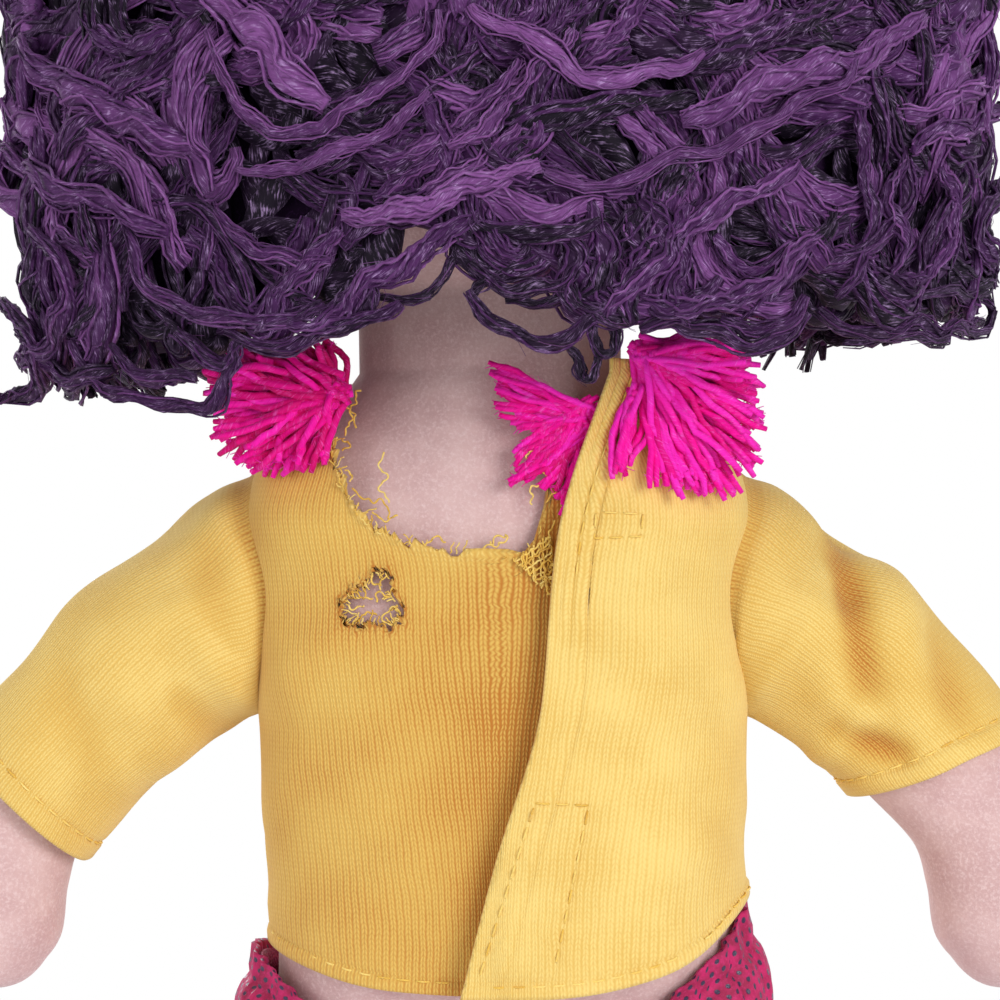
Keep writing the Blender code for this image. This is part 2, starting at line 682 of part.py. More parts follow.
def make_arm(materials, side, label, shoulder):
    rows = np.arange(len(ARM_REACH_SHARES))
    stations = between(0, rows[-1], 11)
    across = HAND_HALF_WIDTH * eased(stations, rows, ARM_WIDTH_SHARES)
    deep = ARM_HALF_DEPTH * eased(stations, rows, ARM_DEPTH_SHARES)
    rings = arm_rings(stations, across, deep, AROUND_LIMB, side)
    loft(f"arm_skin_{label}", rings, materials["skin"], shoulder, close_start=False, wall=SKIN)
    inset = SKIN + FILL_GAP
    stations = between(0.2, rows[-1] - 0.35, 8)
    across = HAND_HALF_WIDTH * eased(stations, rows, ARM_WIDTH_SHARES) - inset
    deep = ARM_HALF_DEPTH * eased(stations, rows, ARM_DEPTH_SHARES) - inset
    rings = arm_rings(stations, across * 0.97, deep * 0.97, AROUND_FILL, side)
    loft(f"arm_stuffing_{label}", rings, materials["stuffing"], shoulder)
    sleeve_rows = np.arange(SLEEVE_ROWS + 1)
    stations = between(0, SLEEVE_ROWS, 9)
    across = SLEEVE_HALF_HEIGHT * eased(stations, sleeve_rows, SLEEVE_HEIGHT_SHARES)
    deep = SLEEVE_HALF_DEPTH * eased(stations, sleeve_rows, SLEEVE_DEPTH_SHARES)
    rings = arm_rings(stations, across, deep, AROUND_LIMB, side)
    loft(f"sleeve_{label}", rings, materials["jersey"], shoulder, close_start=False, close_end=False, wall=JERSEY)


# Legs, trousers and shoes


def shoe_section(z):
    """The shoe's outline at a height: half width, half length and squareness."""
    share = (z - SHOE_BOTTOM_Z) / (SHOE_TOP_Z - SHOE_BOTTOM_Z)
    return (
        SHOE_HALF_WIDTH * eased(share, SHOE_HEIGHT_SHARES, SHOE_WIDTH_SHARES),
        SHOE_HALF_LENGTH * eased(share, SHOE_HEIGHT_SHARES, SHOE_LENGTH_SHARES),
        eased(share, SHOE_HEIGHT_SHARES, SHOE_SQUARENESS),
    )


def shoe_middle_y(z):
    """How far forward the middle of the shoe's outline lies at a height."""
    share = (z - SHOE_BOTTOM_Z) / (SHOE_TOP_Z - SHOE_BOTTOM_Z)
    return -SHOE_FORWARD * eased(share, SHOE_HEIGHT_SHARES, SHOE_FORWARD_SHARES)


def leg_section(z, top):
    """The leg above the ankle: half width, half depth and squareness."""
    share = z / top
    return (
        LEG_RADIUS * eased(share, LEG_HEIGHT_SHARES[::-1], LEG_WIDTH_SHARES[::-1]),
        LEG_RADIUS * eased(share, LEG_HEIGHT_SHARES[::-1], LEG_DEPTH_SHARES[::-1]),
        eased(share, LEG_HEIGHT_SHARES[::-1], LEG_SQUARENESS[::-1]),
    )


def leg_rings(inset, top_drop, count, rows_up, side):
    """The foot, shaped by the shoe round it, and the leg above, flattened to its seam at the top."""
    foot_z = np.array([FOOT_BOTTOM_Z + inset, *between(0.0085, 0.024, 5)])
    width, length, squareness = drawn_in(shoe_section, foot_z, SHOE_WALL + FILL_GAP + inset)
    foot = level_rings(foot_z, width, length, squareness, count, side * LEG_X, shoe_middle_y(foot_z))
    top = HIP_Z - LEG_TOP_DROP
    leg_z = between(top * LEG_HEIGHT_SHARES[-1] + 0.005, top - top_drop, rows_up)
    section = lambda z: leg_section(z, top)
    width, depth, squareness = drawn_in(section, leg_z, inset)
    leg = level_rings(leg_z, width, depth, squareness, count, side * LEG_X)
    return np.concatenate([foot, leg])


def make_leg(materials, side, label, hip):
    rings = leg_rings(NO_LENGTH, NO_LENGTH, AROUND_LIMB, 6, side)
    loft(f"leg_skin_{label}", rings, materials["skin"], hip, close_end=False, wall=SKIN)
    rings = leg_rings(SKIN + FILL_GAP, LEG_TOP_DROP, AROUND_LIMB, 6, side)
    loft(f"leg_stuffing_{label}", rings, materials["stuffing"], hip)


def make_trouser_leg(materials, side, label, hip):
    top = HIP_Z + TROUSER_SEAM_RADIUS
    height = TROUSER_HEM_Z + (top - TROUSER_HEM_Z) * np.array(TROUSER_HEIGHT_SHARES)[::-1]
    z = np.unique(np.concatenate([height, between(TROUSER_HEM_Z, top, 8)]))
    width = TROUSER_LEG_HALF_WIDTH * eased(z, height, TROUSER_WIDTH_SHARES[::-1])
    depth = TROUSER_LEG_HALF_WIDTH * eased(z, height, TROUSER_DEPTH_SHARES[::-1])
    squareness = eased(z, height, TROUSER_SQUARENESS[::-1])
    rings = level_rings(z, width, depth, squareness, AROUND_LIMB, side * LEG_X)
    loft(
        f"trouser_leg_{label}", rings, materials["velour"], hip, close_start=False, close_end=False, wall=TROUSER_CLOTH
    )


def make_shoe(materials, side, label, hip):
    z = SHOE_BOTTOM_Z + (SHOE_TOP_Z - SHOE_BOTTOM_Z) * np.array(SHOE_HEIGHT_SHARES)
    z = np.unique(np.concatenate([z, between(z[1], z[-1], 4)]))
    width, length, squareness = shoe_section(z)
    rings = level_rings(z, width, length, squareness, AROUND_LIMB, side * LEG_X, shoe_middle_y(z))
    loft(f"shoe_upper_{label}", rings, materials["shoe"], hip, close_end=False, wall=SHOE_WALL)
    bottom = np.full(2, SHOE_BOTTOM_Z)
    width, length, squareness = shoe_section(bottom)
    rings = level_rings(
        np.array([NO_LENGTH, SOLE_THICKNESS]),
        width + SOLE_WELT,
        length + SOLE_WELT,
        squareness,
        AROUND,
        side * LEG_X,
        shoe_middle_y(bottom),
    )
    loft(f"shoe_sole_{label}", rings, materials["sole"], hip)


def waist_z(turn):
    """The trousers' upper edge: low at the middle, high at the sides."""
    side = np.where(np.cos(turn) > 0, WAIST_LEFT_Z, WAIST_RIGHT_Z)
    middle = np.where(np.sin(turn) > 0, WAIST_BACK_Z, WAIST_FRONT_Z)
    return middle + (side - middle) * np.abs(np.cos(turn)) ** 1.7


def seat_section(z, share_up, turn, lift):
    """The seat's outer face: the body and its ease, fuller and gathered towards the waist."""
    width, depth, squareness = body_section(np.maximum(z, BODY_SEAM_Z))
    full = EASE + TROUSER_CLOTH + SEAT_EASE + SEAT_FULLNESS * smooth_step(share_up) + lift
    down = smooth_step((BODY_SEAM_Z - z) / (BODY_SEAM_Z - SEAT_BOTTOM_Z))
    depth = (depth + full) * (1 - down) + SEAT_BOTTOM_HALF_DEPTH * down
    gather = GATHER_DEPTH * smooth_step(share_up) * np.cos(GATHERS * turn)
    return width + full * (1 - down) + gather, depth + gather * (1 - down), squareness


def seat_points(turn, share_up, lift):
    low = np.full(turn.shape, SEAT_BOTTOM_Z)
    z = low + (waist_z(turn) - low) * share_up
    width, depth, squareness = seat_section(z, share_up, turn, lift)
    x, y = oval(width, depth, squareness, turn)
    return np.stack([x, y, z], axis=-1)


def make_seat(materials):
    count = 2 * GATHERS
    turn = full_turn(count)[None, :]
    share_up = np.array([0, 0.10, 0.22, 0.38, 0.56, 0.76, 1.0])[:, None]
    rings = seat_points(np.broadcast_to(turn, (len(share_up), count)), share_up, NO_LENGTH)
    loft("trouser_seat", rings, materials["velour"], None, close_end=False, wall=TROUSER_CLOTH)


def make_elastic(materials):
    """The elastic lies inside the gathered waist, against the skin."""
    turn = full_turn(AROUND)[None, :]
    top = waist_z(turn) - LAY
    z = np.concatenate([top - ELASTIC_HEIGHT, top])
    width, depth, squareness = body_section(z + ELASTIC_THICKNESS)
    lift = EASE + 2 * ELASTIC_THICKNESS
    x, y = oval(width + lift, depth + lift, squareness, np.broadcast_to(turn, z.shape))
    rings = np.stack([x, y, z], axis=-1)
    loft("waist_elastic", rings, materials["elastic"], None, close_start=False, close_end=False, wall=ELASTIC_THICKNESS)


# Head, face and wig


def head_rings(inset, start_z, count):
    """The neck, then the round head above it."""
    neck_z = between(start_z, NECK_TOP_Z, 3)
    level = np.array(HEAD_LEVEL_SHARES)
    head_z = HEAD_Z + (HEAD_HALF_HEIGHT - inset) * level
    reach = np.sqrt(1 - level**2)
    half_width = np.concatenate([np.full(3, NECK_HALF_WIDTH - inset), (HEAD_HALF_WIDTH - inset) * reach])
    half_depth = np.concatenate([np.full(3, NECK_HALF_DEPTH - inset), (HEAD_HALF_DEPTH - inset) * reach])
    z = np.concatenate([neck_z, head_z])
    return level_rings(z, half_width, half_depth, np.full(len(z), 2.0), count)


def make_head(materials, neck):
    start = NECK_JOINT_Z + SEAM
    loft("head_skin", head_rings(NO_LENGTH, start, AROUND), materials["skin"], neck, close_start=False, wall=SKIN)
    inset = SKIN + FILL_GAP + LAY
    loft("head_stuffing", head_rings(inset, start + inset, AROUND_LIMB), materials["stuffing"], neck)


def face_spot(x, z, lift):
    """A place on the front of the head, and the way out from it."""
    rise = (z - HEAD_Z) / HEAD_HALF_HEIGHT
    y = -HEAD_HALF_DEPTH * math.sqrt(1 - rise**2 - (x / HEAD_HALF_WIDTH) ** 2)
    way = Vector((x / HEAD_HALF_WIDTH**2, y / HEAD_HALF_DEPTH**2, (z - HEAD_Z) / HEAD_HALF_HEIGHT**2)).normalized()
    return Vector((x, y, z)) + way * lift, way


def stitched_spot(name, x, z, half_width, half_height, material, neck):
    """A small domed oval of satin stitch."""
    place, way = face_spot(x, z, LAY + STITCH_THICKNESS / 2)
    mesh = bpy.data.meshes.new(name)
    work = bmesh.new()
    bmesh.ops.create_cone(
        work, cap_ends=True, segments=12, radius1=1.0, radius2=0.86, depth=STITCH_THICKNESS
    )
    for vert in work.verts:
        vert.co.x *= half_width
        vert.co.y *= half_height
    turned = way.to_track_quat("Z", "Y").to_matrix().to_4x4()
    bmesh.ops.transform(work, matrix=turned, verts=work.verts)
    work.to_mesh(mesh)
    work.free()
    mesh.materials.append(material)
    obj = bpy.data.objects.new(name, mesh)
    bpy.data.collections[COLLECTION].objects.link(obj)
    obj.parent = neck
    obj.location = place - neck.location
    return obj


def make_face(materials, neck):
    dark, rose = materials["thread_dark"], materials["thread_rose"]
    stitched_spot("eye_left", EYE_OUT, EYE_Z, EYE_HALF_WIDTH, EYE_HALF_HEIGHT, dark, neck)
    stitched_spot("eye_right", -EYE_OUT, EYE_Z, EYE_HALF_WIDTH, EYE_HALF_HEIGHT, dark, neck)
    stitched_spot("nose", NO_LENGTH, NOSE_Z, NOSE_HALF_WIDTH, NOSE_HALF_WIDTH * 0.8, rose, neck)
    curve = bpy.data.curves.new("mouth", "CURVE")
    curve.dimensions = "3D"
    curve.bevel_depth = MOUTH_THREAD_RADIUS
    curve.bevel_resolution = 2
    curve.use_fill_caps = True
    line = curve.splines.new("POLY")
    line.points.add(8)
    for point, share in zip(line.points, np.linspace(-1, 1, 9)):
        z = MOUTH_Z - MOUTH_SAG * (1 - share**2)
        spot, _ = face_spot(MOUTH_HALF_WIDTH * share, z, LAY + MOUTH_THREAD_RADIUS)
        point.co = (*(spot - neck.location), 1.0)
    curve.materials.append(rose)
    mouth = bpy.data.objects.new("mouth", curve)
    bpy.data.collections[COLLECTION].objects.link(mouth)
    mouth.parent = neck


def make_cap(materials, neck):
    """The wig cap: a bowl over the top and back of the head, tilted back off the face."""
    tilt = math.radians(CAP_TILT)
    bend = np.radians(CAP_COVER * between(0.06, 1.0, 8))[::-1]
    turn = full_turn(AROUND)[None, :]
    out, up = np.sin(bend)[:, None], np.cos(bend)[:, None]
    x, y, z = out * np.cos(turn), out * np.sin(turn), np.broadcast_to(up, (len(bend), AROUND))
    y, z = y * math.cos(tilt) + z * math.sin(tilt), z * math.cos(tilt) - y * math.sin(tilt)
    lift = CAP_GAP + CAP_CLOTH
    rings = np.stack(
        [x * (HEAD_HALF_WIDTH + lift), y * (HEAD_HALF_DEPTH + lift), HEAD_Z + z * (HEAD_HALF_HEIGHT + lift)], axis=-1
    )
    loft("wig_cap", rings, materials["hair"], neck, close_start=False, wall=CAP_CLOTH)


def lock_block(name, cage, material, neck):
    """A lock of yarn: a coarse block of points [across, along, out], rounded by subdivision."""
    shape = cage.shape[:3]
    work = bmesh.new()
    verts = {}
    for index in np.ndindex(shape):
        if any(i in (0, n - 1) for i, n in zip(index, shape)):
            verts[index] = work.verts.new(Vector(cage[index]) - neck.location)
    for axis in range(3):
        others = [i for i in range(3) if i != axis]
        for end in (0, shape[axis] - 1):
            for a in range(shape[others[0]] - 1):
                for b in range(shape[others[1]] - 1):
                    corners = []
                    for da, db in ((0, 0), (1, 0), (1, 1), (0, 1)):
                        index = [0, 0, 0]
                        index[axis], index[others[0]], index[others[1]] = end, a + da, b + db
                        corners.append(verts[tuple(index)])
                    work.faces.new(corners)
    bmesh.ops.recalc_face_normals(work, faces=work.faces)
    mesh = bpy.data.meshes.new(name)
    work.to_mesh(mesh)
    work.free()
    mesh.materials.append(material)
    mesh.shade_smooth()
    obj = bpy.data.objects.new(name, mesh)
    bpy.data.collections[COLLECTION].objects.link(obj)
    obj.parent = neck
    soft = obj.modifiers.new("soft", "SUBSURF")
    soft.levels = soft.render_levels = 1
    return obj


def wig_outer(turn, z):
    """The wig's outer face at a height: nearly upright at the sides, closing over the top."""
    up = z > HEAD_Z
    rise = np.abs(z - HEAD_Z) / WIG_HALF_HEIGHT
    power = np.where(up, 2.4, 5.0)
    share = np.clip(1 - rise**power, 0.0, 1.0) ** (1 / power)
    return WIG_HALF_WIDTH * share * np.cos(turn), WIG_HALF_DEPTH * share * np.sin(turn)


def lock_low_z(degrees):
    """How low the hanging locks reach: lowest over the shoulders, higher at the nape."""
    over_side = abs(math.cos(math.radians(degrees)))
    if math.sin(math.radians(degrees)) < 0:
        return LOCK_FACE_LOW_Z
    return LOCK_BACK_LOW_Z + (LOCK_SIDE_LOW_Z - LOCK_BACK_LOW_Z) * float(smooth_step((over_side - 0.78) / 0.2))


def make_hanging_locks(materials, neck):
    step = (180 - 2 * FACE_EDGE_DEGREES) / HANGING_LOCKS
    for number in range(HANGING_LOCKS):
        start = FACE_EDGE_DEGREES + number * step
        low = lock_low_z(start + step / 2)
        turn = np.radians(np.array([start, start + step / 2, start + step]))[:, None, None]
        z = between(low, TIER_Z - LOCK_GAP / 2, 4)[None, :, None]
        wave = 1 + LOCK_WAVE_SHARE * np.cos((z - low) / (TIER_Z - low) * 2 * HALF_TURN + number) - LOCK_WAVE_SHARE
        outer_x, outer_y = wig_outer(turn, z)
        inner_x, inner_y = WIG_INNER_X * np.cos(turn), WIG_INNER_Y * np.sin(turn)
        depth = np.array([0.0, 1.0])[None, None, :]
        x = inner_x + (outer_x * wave - inner_x) * depth
        y = inner_y + (outer_y * wave - inner_y) * depth
        x, y, z = np.broadcast_arrays(x, y, z)
        cage = np.stack([x, y, z], axis=-1).copy()
        part_locks(cage)
        lock_block(f"hair_lock_{number + 1}", cage, materials["hair"], neck)


def part_locks(cage):
    """Draws a lock's two sides in by half the gap between locks."""
    for end, inward in ((0, 1), (-1, -2)):
        way = cage[inward] - cage[end]
        cage[end] += way / np.linalg.norm(way, axis=-1, keepdims=True) * LOCK_GAP / 2


def crown_points(turn, bend, out):
    """A place over the head: turn round it, bend up from level, out from the cap (0) to the wig's outside (1)."""
    seat = CAP_GAP + CAP_CLOTH + LOCK_SEAT
    inner = (HEAD_HALF_WIDTH + seat, HEAD_HALF_DEPTH + seat, HEAD_HALF_HEIGHT + seat)
    outer = (WIG_HALF_WIDTH, WIG_HALF_DEPTH, WIG_HALF_HEIGHT)
    flat, high = np.cos(bend), np.sin(bend)
    power = 1 / 2.4
    norm = (flat**2.4 + high**2.4) ** power
    x = (inner[0] * flat + (outer[0] * flat / norm - inner[0] * flat) * out) * np.cos(turn)
    y = (inner[1] * flat + (outer[1] * flat / norm - inner[1] * flat) * out) * np.sin(turn)
    z = HEAD_Z + inner[2] * high + (outer[2] * high / norm - inner[2] * high) * out
    return np.stack(np.broadcast_arrays(x, y, z), axis=-1).copy()


def make_upper_locks(materials, neck):
    step = 360 / UPPER_LOCKS
    for number in range(UPPER_LOCKS):
        middle = number * step
        turn = np.radians(between(middle - step / 2, middle + step / 2, 5))[:, None, None]
        front = math.sin(math.radians(middle)) < 0
        lowest = math.asin((FRINGE_LOW_Z - HEAD_Z) / WIG_HALF_HEIGHT) if front else LOCK_GAP / HEAD_HALF_HEIGHT
        bend = between(lowest, math.radians(CROWN_DEGREES), 4)[None, :, None]
        out = np.array([0.0, 1.0])[None, None, :]
        cage = crown_points(turn, bend, out)
        if front:
            cage[:, :, -1, 1] *= FRINGE_FULLNESS
        part_locks(cage)
        lock_block(f"hair_upper_{number + 1}", cage, materials["hair"], neck)


def make_crown_lock(materials, neck):
    turn = full_turn(AROUND)[None, :]
    seat_bend = math.radians(CROWN_DEGREES) + 2 * LOCK_GAP / HEAD_HALF_HEIGHT
    rows = []
    for bend, out in (
        (HALF_TURN / 2 - 0.05, 0.0),
        (HALF_TURN / 2 * 0.85, 0.0),
        (seat_bend, 0.0),
        (seat_bend, 0.5),
        (seat_bend, 0.9),
        (HALF_TURN / 2 * 0.85, 1.0),
        (HALF_TURN / 2 - 0.05, 1.0),
    ):
        rows.append(crown_points(turn, np.full(turn.shape, bend), out)[0])
    rings = np.array(rows)
    loft("hair_crown", rings, materials["hair"], neck)


def main():
    clear_scene()
    new_collection(COLLECTION)
    new_collection("cutters").hide_render = True
    materials = {name: new_material(name, colour) for name, colour in COLOURS.items()}
    hem_end, collar_end = flap_hinge_line()
    flap_axis = empty_at("flap_axis", hem_end)
    neck = empty_at("neck_axis", Vector((NO_LENGTH, NO_LENGTH, NECK_JOINT_Z)))
    print("flap hinge line", tuple(hem_end), tuple(collar_end))
    make_body(materials)
    make_shirt(materials, flap_axis)
    make_tapes(materials, flap_axis)
    make_tufts(materials)
    make_seat(materials)
    make_elastic(materials)
    make_head(materials, neck)
    make_face(materials, neck)
    make_cap(materials, neck)
    make_hanging_locks(materials, neck)
    make_upper_locks(materials, neck)
    make_crown_lock(materials, neck)
    for side, label in ((1, "left"), (-1, "right")):
        shoulder = empty_at(f"shoulder_axis_{label}", Vector((side * ARM_ROOT_X, NO_LENGTH, SHOULDER_Z)))
        make_arm(materials, side, label, shoulder)
        hip = empty_at(f"hip_axis_{label}", Vector((side * LEG_X, NO_LENGTH, HIP_Z)))
        make_leg(materials, side, label, hip)
        make_trouser_leg(materials, side, label, hip)
        make_shoe(materials, side, label, hip)


main()
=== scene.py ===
import math

import bpy
import numpy as np
from numpy import arange, array, clip, concatenate, cos, linspace, sin, where
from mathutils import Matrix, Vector


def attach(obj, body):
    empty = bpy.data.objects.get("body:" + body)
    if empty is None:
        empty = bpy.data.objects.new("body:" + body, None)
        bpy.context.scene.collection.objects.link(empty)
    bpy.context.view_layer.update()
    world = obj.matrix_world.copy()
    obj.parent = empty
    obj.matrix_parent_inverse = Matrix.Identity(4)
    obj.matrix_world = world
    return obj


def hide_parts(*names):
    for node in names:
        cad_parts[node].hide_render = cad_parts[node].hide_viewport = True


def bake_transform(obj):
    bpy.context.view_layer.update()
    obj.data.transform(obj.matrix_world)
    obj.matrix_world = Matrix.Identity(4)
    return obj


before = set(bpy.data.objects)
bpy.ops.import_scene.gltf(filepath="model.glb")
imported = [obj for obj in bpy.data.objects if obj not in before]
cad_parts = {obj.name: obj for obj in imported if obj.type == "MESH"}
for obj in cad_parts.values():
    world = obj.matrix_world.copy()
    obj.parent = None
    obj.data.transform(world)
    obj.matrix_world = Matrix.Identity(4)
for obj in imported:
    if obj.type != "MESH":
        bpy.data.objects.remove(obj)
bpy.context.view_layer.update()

mm = 0.001
full = 2 * math.pi
print("frame loaded:", len(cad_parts), "nodes")


# small tools

def linear(r, g, b):
    # a screen colour in 0..255 as the linear colour that Blender takes
    c = array((r, g, b)) / 255
    c = where(c <= 0.04045, c / 12.92, ((c + 0.055) / 1.055) ** 2.4)
    return (*c.tolist(), 1.0)


def smooth(t):
    # 0 to 1, level at both ends
    t = clip(t, 0.0, 1.0)
    return t * t * (3 - 2 * t)


def rise(at, start, width):
    # 0 up to start, 1 from width beyond it; with at and start changed round it falls instead
    return smooth((at - start) / width)


def eased(at, knots, values):
    # a cubic through the knots that never swings past them
    knots, values = np.asarray(knots, float), np.asarray(values, float)
    steps = np.diff(knots)
    rises = np.diff(values) / steps
    slopes = np.zeros(len(knots))
    same = rises[:-1] * rises[1:] > 0
    slopes[1:-1][same] = 2 * rises[:-1][same] * rises[1:][same] / (rises[:-1] + rises[1:])[same]
    slopes[0], slopes[-1] = rises[0], rises[-1]
    at = clip(at, knots[0], knots[-1])
    i = clip(np.searchsorted(knots, at) - 1, 0, len(steps) - 1)
    t = (at - knots[i]) / steps[i]
    start = values[i] * (1 + 2 * t) * (1 - t) ** 2 + slopes[i] * steps[i] * t * (1 - t) ** 2
    return start + values[i + 1] * t * t * (3 - 2 * t) + slopes[i + 1] * steps[i] * t * t * (t - 1)


def profile(shape, key, at):
    # one of a shape's sizes at a height, from its table
    return eased(at, shape["height"], shape[key])


def unit(v):
    return v / np.maximum(np.linalg.norm(v, axis=-1, keepdims=True), 1e-12)


def bell(away):
    # 1 in the middle, near 0 at twice the width that away is counted in
    return np.exp(-(away**2))


def xyz(x, y, z):
    # points of three coordinates, each an array or one number for all
    return np.stack(np.broadcast_arrays(x, y, z), axis=-1)


def around(count):
    # equal turns of a full round, as one row
    return (arange(count) / count * full)[None, :]


def ripple(points, size, seed, count=7):
    # soft lumps: a mean of sine waves that run in seeded directions, about size long
    rng = np.random.default_rng(seed)
    ways = unit(rng.normal(size=(count, 3))) * full / (size * rng.uniform(0.7, 1.5, (count, 1)))
    phases = rng.uniform(0, full, count)
    return sin(points @ ways.T + phases).mean(axis=-1) * 1.6


def oval(halfAcross, halfDeep, squareness, turn):
    # superellipse: squareness 2 is an ellipse, more is boxier
    power = 2 / squareness
    c, s = cos(turn), sin(turn)
    return halfAcross * np.sign(c) * np.abs(c) ** power, halfDeep * np.sign(s) * np.abs(s) ** power


def seen(px, py, y):
    # a place seen at a point of the 1000 wide picture, at the depth y
    away = (camera["y"] - y) / (camera["y"] - camera["planeY"])
    x = camera["x"] - (np.asarray(px, float) - camera["middle"]) * camera["pitch"] * away
    return xyz(x, y, camera["z"] - (np.asarray(py, float) - camera["middle"]) * camera["pitch"] * away)


camera = {"x": -0.25 * mm, "y": 0.42, "z": 197.5 * mm, "planeY": 0.02, "pitch": 0.125 * mm, "middle": 500}


# meshes

def addObject(name, points, faces, material, uvs=None, tones=None):
    mesh = bpy.data.meshes.new(name)
    mesh.from_pydata(points.tolist(), [], faces)
    mesh.shade_smooth()
    if uvs is not None:
        layer = mesh.uv_layers.new(name="UVMap")
        layer.data.foreach_set("uv", np.asarray(uvs, np.float32).ravel())
    if tones is not None:
        layer = mesh.attributes.new("tone", "FLOAT", "POINT")
        layer.data.foreach_set("value", np.asarray(tones, np.float32).ravel())
    mesh.materials.append(material)
    obj = bpy.data.objects.new(name, mesh)
    bpy.context.scene.collection.objects.link(obj)
    return obj


def gridQuads(rows, columns, wrap):
    # quads of a grid, and the row and unwrapped column of each of their corners
    i, j = np.meshgrid(arange(rows - 1), arange(columns if wrap else columns - 1), indexing="ij")
    i, j = i.ravel(), j.ravel()
    cornerRow = np.stack([i, i, i + 1, i + 1], axis=1)
    cornerColumn = np.stack([j, j + 1, j + 1, j], axis=1)
    return cornerRow * columns + cornerColumn % columns, cornerRow, cornerColumn


def gridSurface(name, points, material, wrap=False, closeStart=False, closeEnd=False, tones=None, keep=None,
                flat=None):
    # a surface through rows of points, its UV in metres across and along, or as flat gives it
    rows, columns = points.shape[:2]
    quads, cornerRow, cornerColumn = gridQuads(rows, columns, wrap)
    loop = concatenate([points, points[:, :1]], axis=1) if wrap else points
    across = np.linalg.norm(np.diff(loop, axis=1), axis=-1)
    along = np.linalg.norm(np.diff(points, axis=0), axis=-1)
    u = concatenate([[0], np.cumsum(np.percentile(across, 70, axis=0))])
    v = concatenate([[0], np.cumsum(np.percentile(along, 70, axis=1))])
    u = u - u[len(u) // 2]
    uvs = np.stack([u[cornerColumn], v[cornerRow]], axis=-1) if flat is None else flat.reshape(-1, 2)[quads]
    if keep is not None:
        quads, uvs = quads[keep], uvs[keep]
    faces = quads.tolist()
    uvs = uvs.reshape(-1, 2)
    for closed, row, order in ((closeStart, 0, -1), (closeEnd, rows - 1, 1)):
        if closed:
            faces.append((row * columns + arange(columns))[::order].tolist())
            ring = np.stack([u[:columns], np.full(columns, v[row])], axis=-1)
            uvs = concatenate([uvs, ring[::order]])
    return addObject(name, points.reshape(-1, 3), faces, material, uvs, tones)


def closedSkin(name, points, material):
    return gridSurface(name, points, material, wrap=True, closeStart=True, closeEnd=True)


def addWall(obj, thickness, outward=True):
    wall = obj.modifiers.new("wall", "SOLIDIFY")
    wall.thickness = thickness
    wall.offset = 1.0 if outward else -1.0


def lengthAlong(path):
    # the length so far at each point of a path
    return concatenate([[0], np.cumsum(np.linalg.norm(np.diff(path, axis=0), axis=1))])


def frames(paths):
    # along each path: its way, two directions square to it that never twist, and the length so far
    way = unit(np.gradient(paths, axis=1))
    side = np.zeros_like(way)
    helper = where(np.abs(way[:, :1, 2:3]) < 0.9, array([0.0, 0, 1]), array([1.0, 0, 0]))
    side[:, :1] = unit(np.cross(way[:, :1], helper))
    for i in range(1, paths.shape[1]):
        last = side[:, i - 1]
        side[:, i] = unit(last - (last * way[:, i]).sum(-1, keepdims=True) * way[:, i])
    steps = np.linalg.norm(np.diff(paths, axis=1), axis=-1)
    length = concatenate([np.zeros((len(paths), 1)), np.cumsum(steps, axis=1)], axis=1)
    return way, side, np.cross(way, side), length


def tubes(paths, radii, sides=6, flutes=0, fluteDepth=0.0, twist=0.0, tones=None, out=None, flat=1.0,
          streaks=1):
    # tubes along many paths at once: rings square to each path, fluted like plied yarn, and with out given
    # an oval section that is flat times as thick that way
    count, steps = paths.shape[:2]
    radii = np.broadcast_to(radii, (count, steps))
    way, side, other, length = frames(paths)
    if out is not None:
        other = unit(out - (out * way).sum(-1, keepdims=True) * way)
        side = np.cross(other, way)
        other = other * flat
    angle = arange(sides) / sides * full
    start = arange(count)[:, None] * 2.4
    size = radii[:, :, None] * (
        1 + fluteDepth * cos(flutes * angle[None, None, :] + (twist * length + start)[:, :, None])
    )
    ring = (
        cos(angle)[None, None, :, None] * side[:, :, None, :]
        + sin(angle)[None, None, :, None] * other[:, :, None, :]
    )
    points = paths[:, :, None, :] + size[..., None] * ring
    quads, cornerRow, cornerColumn = gridQuads(steps, sides, True)
    base = (arange(count) * steps * sides)[:, None, None]
    quads = (quads[None] + base).reshape(-1, 4)
    u = np.broadcast_to(cornerColumn[None] / sides * streaks, (count, *cornerColumn.shape))
    v = length[:, cornerRow]
    uvs = np.stack([u + arange(count)[:, None, None], v], axis=-1).reshape(-1, 2)
    ends = arange(sides)
    first = (base[:, 0] + ends[::-1][None]).tolist()
    last = (base[:, 0] + (steps - 1) * sides + ends[None]).tolist()
    capUvs = np.zeros((2 * count * sides, 2))
    tone = np.repeat(np.zeros(count) if tones is None else tones, steps * sides)
    return points.reshape(-1, 3), quads.tolist() + first + last, concatenate([uvs, capUvs]), tone


def tubeObject(name, sets, material):
    # one mesh from several sets of tubes
    points, faces, uvs, tones, at = [], [], [], [], 0
    for somePoints, someFaces, someUvs, someTones in sets:
        points.append(somePoints)
        faces.extend([[k + at for k in face] for face in someFaces])
        uvs.append(someUvs)
        tones.append(someTones)
        at += len(somePoints)
    points, uvs, tones = (concatenate(some) for some in (points, uvs, tones))
    return addObject(name, points, faces, material, uvs, tones)


